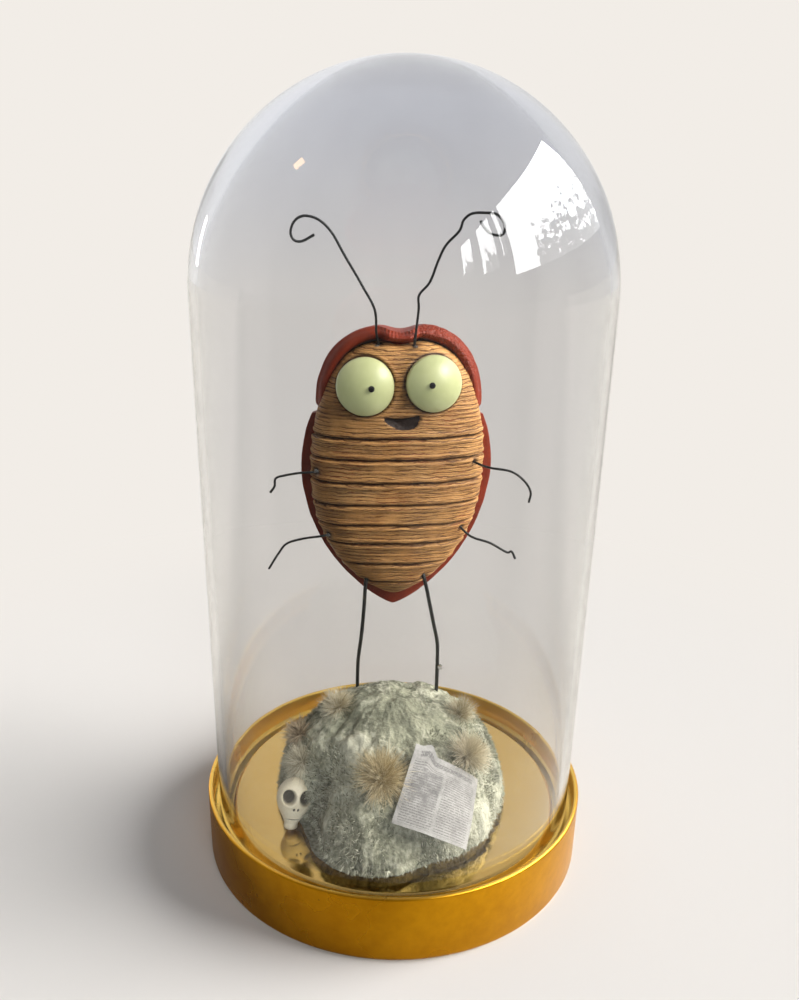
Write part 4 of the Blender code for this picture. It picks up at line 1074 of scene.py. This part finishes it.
# The smile: a hollow pressed into the face and lined with dark brown clay, uneven and a little shiny. It runs
# out thin to the left and ends blunt at the right.
MOUTH_RINGS, MOUTH_FACE_Y, MOUTH_DISH = 7, -8.9, 0.75
MOUTH_TONES = (0.020, 0.009, 0.005), (0.007, 0.003, 0.002)

bpy.ops.object.select_all(action="DESELECT")
bpy.ops.mesh.primitive_circle_add(vertices=80, radius=1, fill_type="NGON")
mouth = fresh("clay_smile")
edit(lambda mesh, face: True, "FACE")
for ring in range(MOUTH_RINGS):
    bpy.ops.mesh.inset(thickness=0.12)
done()
middle = Vector((MOUTH_MIDDLE[0], MOUTH_FACE_Y, MOUTH_MIDDLE[1]))
tilt = Matrix.Rotation(MOUTH_TILT, 4, "Y")
for corner in mouth.data.vertices:
    reach, turn = corner.co.length, math.atan2(corner.co.y, corner.co.x)
    side = math.copysign(abs(math.cos(turn)) ** 0.7, math.cos(turn))
    low = -MOUTH_DROP * mouth_drop(side) if turn < 0 else -0.5 * math.sin(turn)
    x, z = MOUTH_HALF_WIDTH * 1.03 * side * reach, -1.5 + (low + 1.5) * reach
    dish = MOUTH_DISH * (1 - reach**2) + 0.16 * noise.noise(Vector((x, z, 4)) / 0.9)
    corner.co = FIGURE @ ((middle + Vector((0, dish, 0)) + tilt @ Vector((x, 0, z))) * MM)
edit(lambda mesh, face: True, "FACE")
bpy.ops.mesh.normals_make_consistent(inside=False)
done()
apply_modifier(mouth, "SUBSURF", levels=2, render_levels=2)
bpy.ops.object.shade_smooth()
dark_clay = plain_material(
    "dark_brown_clay", (300, 1800), MOUTH_TONES, (0.2 * MM, 0.8), Roughness=0.45, Specular_IOR_Level=0.3
)
mouth.data.materials.append(dark_clay)
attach(mouth, "root")
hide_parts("mouth")

# The eyes: domed discs of pale green clay under a gloss varnish, pressed into the head, each with a tiny black
# glass bead set off centre.
EYE_DOME, EYE_BAND, PUPIL_RADIUS, PUPIL_LIFT = 3.4 * MM, 1.6 * MM, 0.85 * MM, 0.3 * MM
EYE_TONES = (0.58, 0.61, 0.31), (0.50, 0.535, 0.25)
BEAD_TONES = (0.014, 0.014, 0.016), (0.006, 0.006, 0.007)

eye_green = plain_material(
    "pale_green_eye", (120, 900), EYE_TONES, (0.05 * MM, 0.25),
    Roughness=0.35, Coat_Weight=1.0, Coat_Roughness=0.12,
)
black_bead = plain_material("black_bead", (900, 3000), BEAD_TONES, Roughness=0.08)
for side, radius, middle, tilt, pupil in EYES:
    radius *= MM
    ball = (radius**2 + EYE_DOME**2) / (2 * EYE_DOME)
    ball_z = EYE_BAND + EYE_DOME - ball
    edge = math.degrees(math.asin((ball - EYE_DOME) / ball))
    bpy.ops.object.select_all(action="DESELECT")
    bpy.ops.mesh.primitive_circle_add(vertices=96, radius=radius - 0.4 * MM, fill_type="TRIFAN")
    eye = fresh(f"clay_eye_{side}")
    edit(on_ring(0, radius - 0.4 * MM))
    disc = [(radius - 0.4 * MM, 0), (radius - 0.1 * MM, 0.1 * MM), (radius, 0.4 * MM)]
    widen(disc + [(radius, EYE_BAND - 0.5 * MM)] + arc(0, ball_z, ball, edge + 1.5, 89.2, 18))
    bpy.ops.mesh.edge_face_add()
    bpy.ops.mesh.select_all(action="SELECT")
    bpy.ops.mesh.normals_make_consistent(inside=False)
    done()
    apply_modifier(eye, "BEVEL", width=0.2 * MM, segments=3, limit_method="ANGLE", angle_limit=math.radians(25))
    bpy.ops.object.shade_smooth()
    eye.data.transform(FIGURE @ eye_place(middle, tilt))
    eye.data.materials.append(eye_green)
    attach(eye, "root")
    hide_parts(f"eye_{side}")

    spot = Vector(pupil) * MM
    height = ball_z + math.sqrt(ball**2 - spot.length_squared) + PUPIL_LIFT
    bpy.ops.object.select_all(action="DESELECT")
    bpy.ops.mesh.primitive_uv_sphere_add(segments=32, ring_count=20, radius=PUPIL_RADIUS)
    bead = fresh(f"bead_pupil_{side}")
    bead.data.transform(FIGURE @ eye_place(middle, tilt) @ Matrix.Translation((*spot, height)))
    bpy.ops.object.shade_smooth()
    bead.data.materials.append(black_bead)
    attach(bead, "root")
    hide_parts(f"pupil_{side}")

# The wires: black lacquered craft wire, bent with pliers and pushed into the baked clay. The legs are thicker
# and carry the whole figure, and their lower ends stand in the rock. Each route is in millimetres.
THIN_WIRE, LEG_WIRE, KNOTS_A_SPAN = 0.68 * MM, 1.15 * MM, 8
WIRE_TONES = (0.010, 0.011, 0.010), (0.003, 0.003, 0.003)
WIRE_ROUTES = {
    "antenna_left": (
        (-6.0, -3.2, 160.5), (-7.0, -3.8, 165), (-7.5, -4.2, 172), (-10.8, -5, 178.6), (-15.2, -6, 186.3),
        (-18.5, -6.8, 192), (-21.8, -7.5, 195), (-25.4, -8, 195.8), (-27.8, -8.2, 194.5),
        (-28.8, -8.2, 191.9), (-27.9, -8, 190), (-25.9, -7.6, 189.8), (-22.9, -7, 191.4),
    ),
    "antenna_right": (
        (3.1, -3.2, 160.5), (3.5, -3.8, 165), (4.1, -4.2, 172.3), (4.1, -4.6, 176.3), (6.8, -5.2, 179.9),
        (8.8, -6, 185.5), (10.6, -6.6, 189.4), (13.8, -7.2, 192.9), (14.8, -7.6, 195.5), (16.8, -8, 197),
        (20, -8.2, 197.2), (23.1, -8.2, 196.8), (25, -8, 194.5), (24.7, -7.6, 192.2), (22.2, -7.2, 192.2),
        (20.2, -7, 193.6), (19, -7, 195.4),
    ),
    "arm_upper_left": (
        (-19.5, -3.6, 127), (-24.5, -6.2, 126.8), (-28, -6.6, 126.6), (-32, -6.8, 125.9), (-34.8, -7, 125),
        (-35.2, -7.2, 122.7), (-36.4, -7.4, 120.9),
    ),
    "arm_upper_right": (
        (20, -3.2, 130.2), (24.8, -5.6, 129), (31, -6.4, 128.2), (34.8, -7, 125.8), (36.9, -7.2, 122.6),
        (36.6, -7.4, 119.5),
    ),
    "arm_lower_left": (
        (-16.5, -3.6, 108.5), (-21.5, -5.8, 107.6), (-27.4, -6.4, 106.8), (-32.2, -6.8, 105.3),
        (-34.7, -7, 102.2), (-37.6, -7.4, 97.5),
    ),
    "arm_lower_right": (
        (16.5, -2.8, 111.5), (20.8, -5.2, 108.2), (26.5, -5.8, 106.4), (31.4, -6.2, 103.8),
        (32.8, -6.4, 104.1), (34, -6.8, 102),
    ),
    "leg_left": (
        (-8.2, -2.2, 97.3), (-9.4, -4.2, 92.3), (-9.9, -3.2, 84), (-10.7, -1.5, 74), (-11.8, 1.2, 64),
        (-12.1, 2.6, 57), (-12.2, 3.6, 52), (-12.3, 4.2, 48.5),
    ),
    "leg_right": (
        (6.6, -2.2, 97.5), (8.3, -4.0, 92.6), (9.7, -3.0, 86), (11.3, -1.4, 78), (12.8, 0.6, 70),
        (13.1, 2.2, 61), (13.2, 3.4, 54), (13.2, 4.0, 50), (13.2, 4.4, 45.5),
    ),
}


def smooth_route(points, count):
    """Evenly counted points on a Catmull-Rom curve through the given ones."""
    ends = [2 * points[0] - points[1], *points, 2 * points[-1] - points[-2]]
    route = []
    for i in range(count):
        along = i / (count - 1) * (len(points) - 1)
        k = min(int(along), len(points) - 2)
        t = along - k
        a, b, c, d = ends[k : k + 4]
        route.append(b + 0.5 * t * ((c - a) + t * ((2 * a - 5 * b + 4 * c - d) + t * (3 * (b - c) + d - a))))
    return route


black_wire = plain_material("black_wire", (400, 2600), WIRE_TONES, (0.04 * MM, 0.5), Roughness=0.36)
for wire_name, knees in WIRE_ROUTES.items():
    route = smooth_route([Vector(knee) * MM for knee in knees], KNOTS_A_SPAN * len(knees))
    curve = bpy.data.curves.new(wire_name, "CURVE")
    curve.dimensions = "3D"
    curve.bevel_depth = (LEG_WIRE if wire_name.startswith("leg") else THIN_WIRE) / 2
    curve.bevel_resolution = 4
    curve.use_fill_caps = True
    line = curve.splines.new("POLY")
    line.points.add(len(route) - 1)
    for knot, spot in zip(line.points, route):
        knot.co = (*spot, 1)
        knot.radius = 1 + 0.06 * noise.noise(spot / (3 * MM))
    wire = bpy.data.objects.new(f"wire_{wire_name}", curve)
    bpy.context.scene.collection.objects.link(wire)
    bpy.ops.object.select_all(action="DESELECT")
    wire.select_set(True)
    bpy.context.view_layer.objects.active = wire
    bpy.ops.object.convert(target="MESH")
    wire = bpy.context.object
    edit(lambda mesh, corner: True, "VERT")
    bpy.ops.mesh.remove_doubles(threshold=0.002 * MM)
    done()
    bpy.ops.object.shade_smooth_by_angle(angle=math.radians(50))
    wire.data.materials.append(black_wire)
    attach(wire, "root")
    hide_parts(wire_name)

# The glue: a clear drop that ran down the right leg and set there, and dabs of it in the pits of the antennae
# and of the left arms. Each has its place and its half sizes in millimetres.
GLUE_DROPS = (
    ((14.0, 1.6, 61.3), (0.8, 0.7, 0.85)), ((-6.8, -4.2, 161.8), (0.6, 0.4, 0.4)),
    ((3.6, -4.2, 161.8), (0.6, 0.4, 0.4)), ((-23.4, -6.5, 127.2), (0.7, 0.4, 0.5)),
    ((-20.3, -6.1, 108.0), (0.7, 0.4, 0.5)),
)
GLUE_TONES = (0.80, 0.80, 0.77), (0.60, 0.60, 0.57)

drops = []
for place, size in GLUE_DROPS:
    bpy.ops.object.select_all(action="DESELECT")
    bpy.ops.mesh.primitive_ico_sphere_add(subdivisions=4, radius=1, location=Vector(place) * MM)
    drop = fresh("glue_drop")
    drop.scale = Vector(size) * MM
    bpy.ops.object.transform_apply()
    for corner in drop.data.vertices:
        corner.co.z += 0.1 * MM * noise.noise(corner.co / (0.6 * MM))
    drops.append(drop)
for drop in drops:
    drop.select_set(True)
bpy.ops.object.join()
glue = fresh("glue_drops")
bpy.ops.object.shade_smooth()
glue.data.materials.append(
    plain_material("clear_glue", (500, 2500), GLUE_TONES, Roughness=0.08, IOR=1.45, Transmission_Weight=0.9)
)
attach(glue, "root")

# What the lamps leave out: the figure light misses the floor, the base and the bell, and the fill misses the
# clay of the figure, so that its shadows stay deep.
for group, pieces in ((unlit, (floor, base, bell)), (unfilled, (body, hood, cases))):
    for piece in pieces:
        group.objects.link(piece)
    for shaded in group.collection_objects:
        shaded.light_linking.link_state = "EXCLUDE"

size = {"cad": [list(corner) for corner in cad_box], "visual": [list(corner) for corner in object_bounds()]}
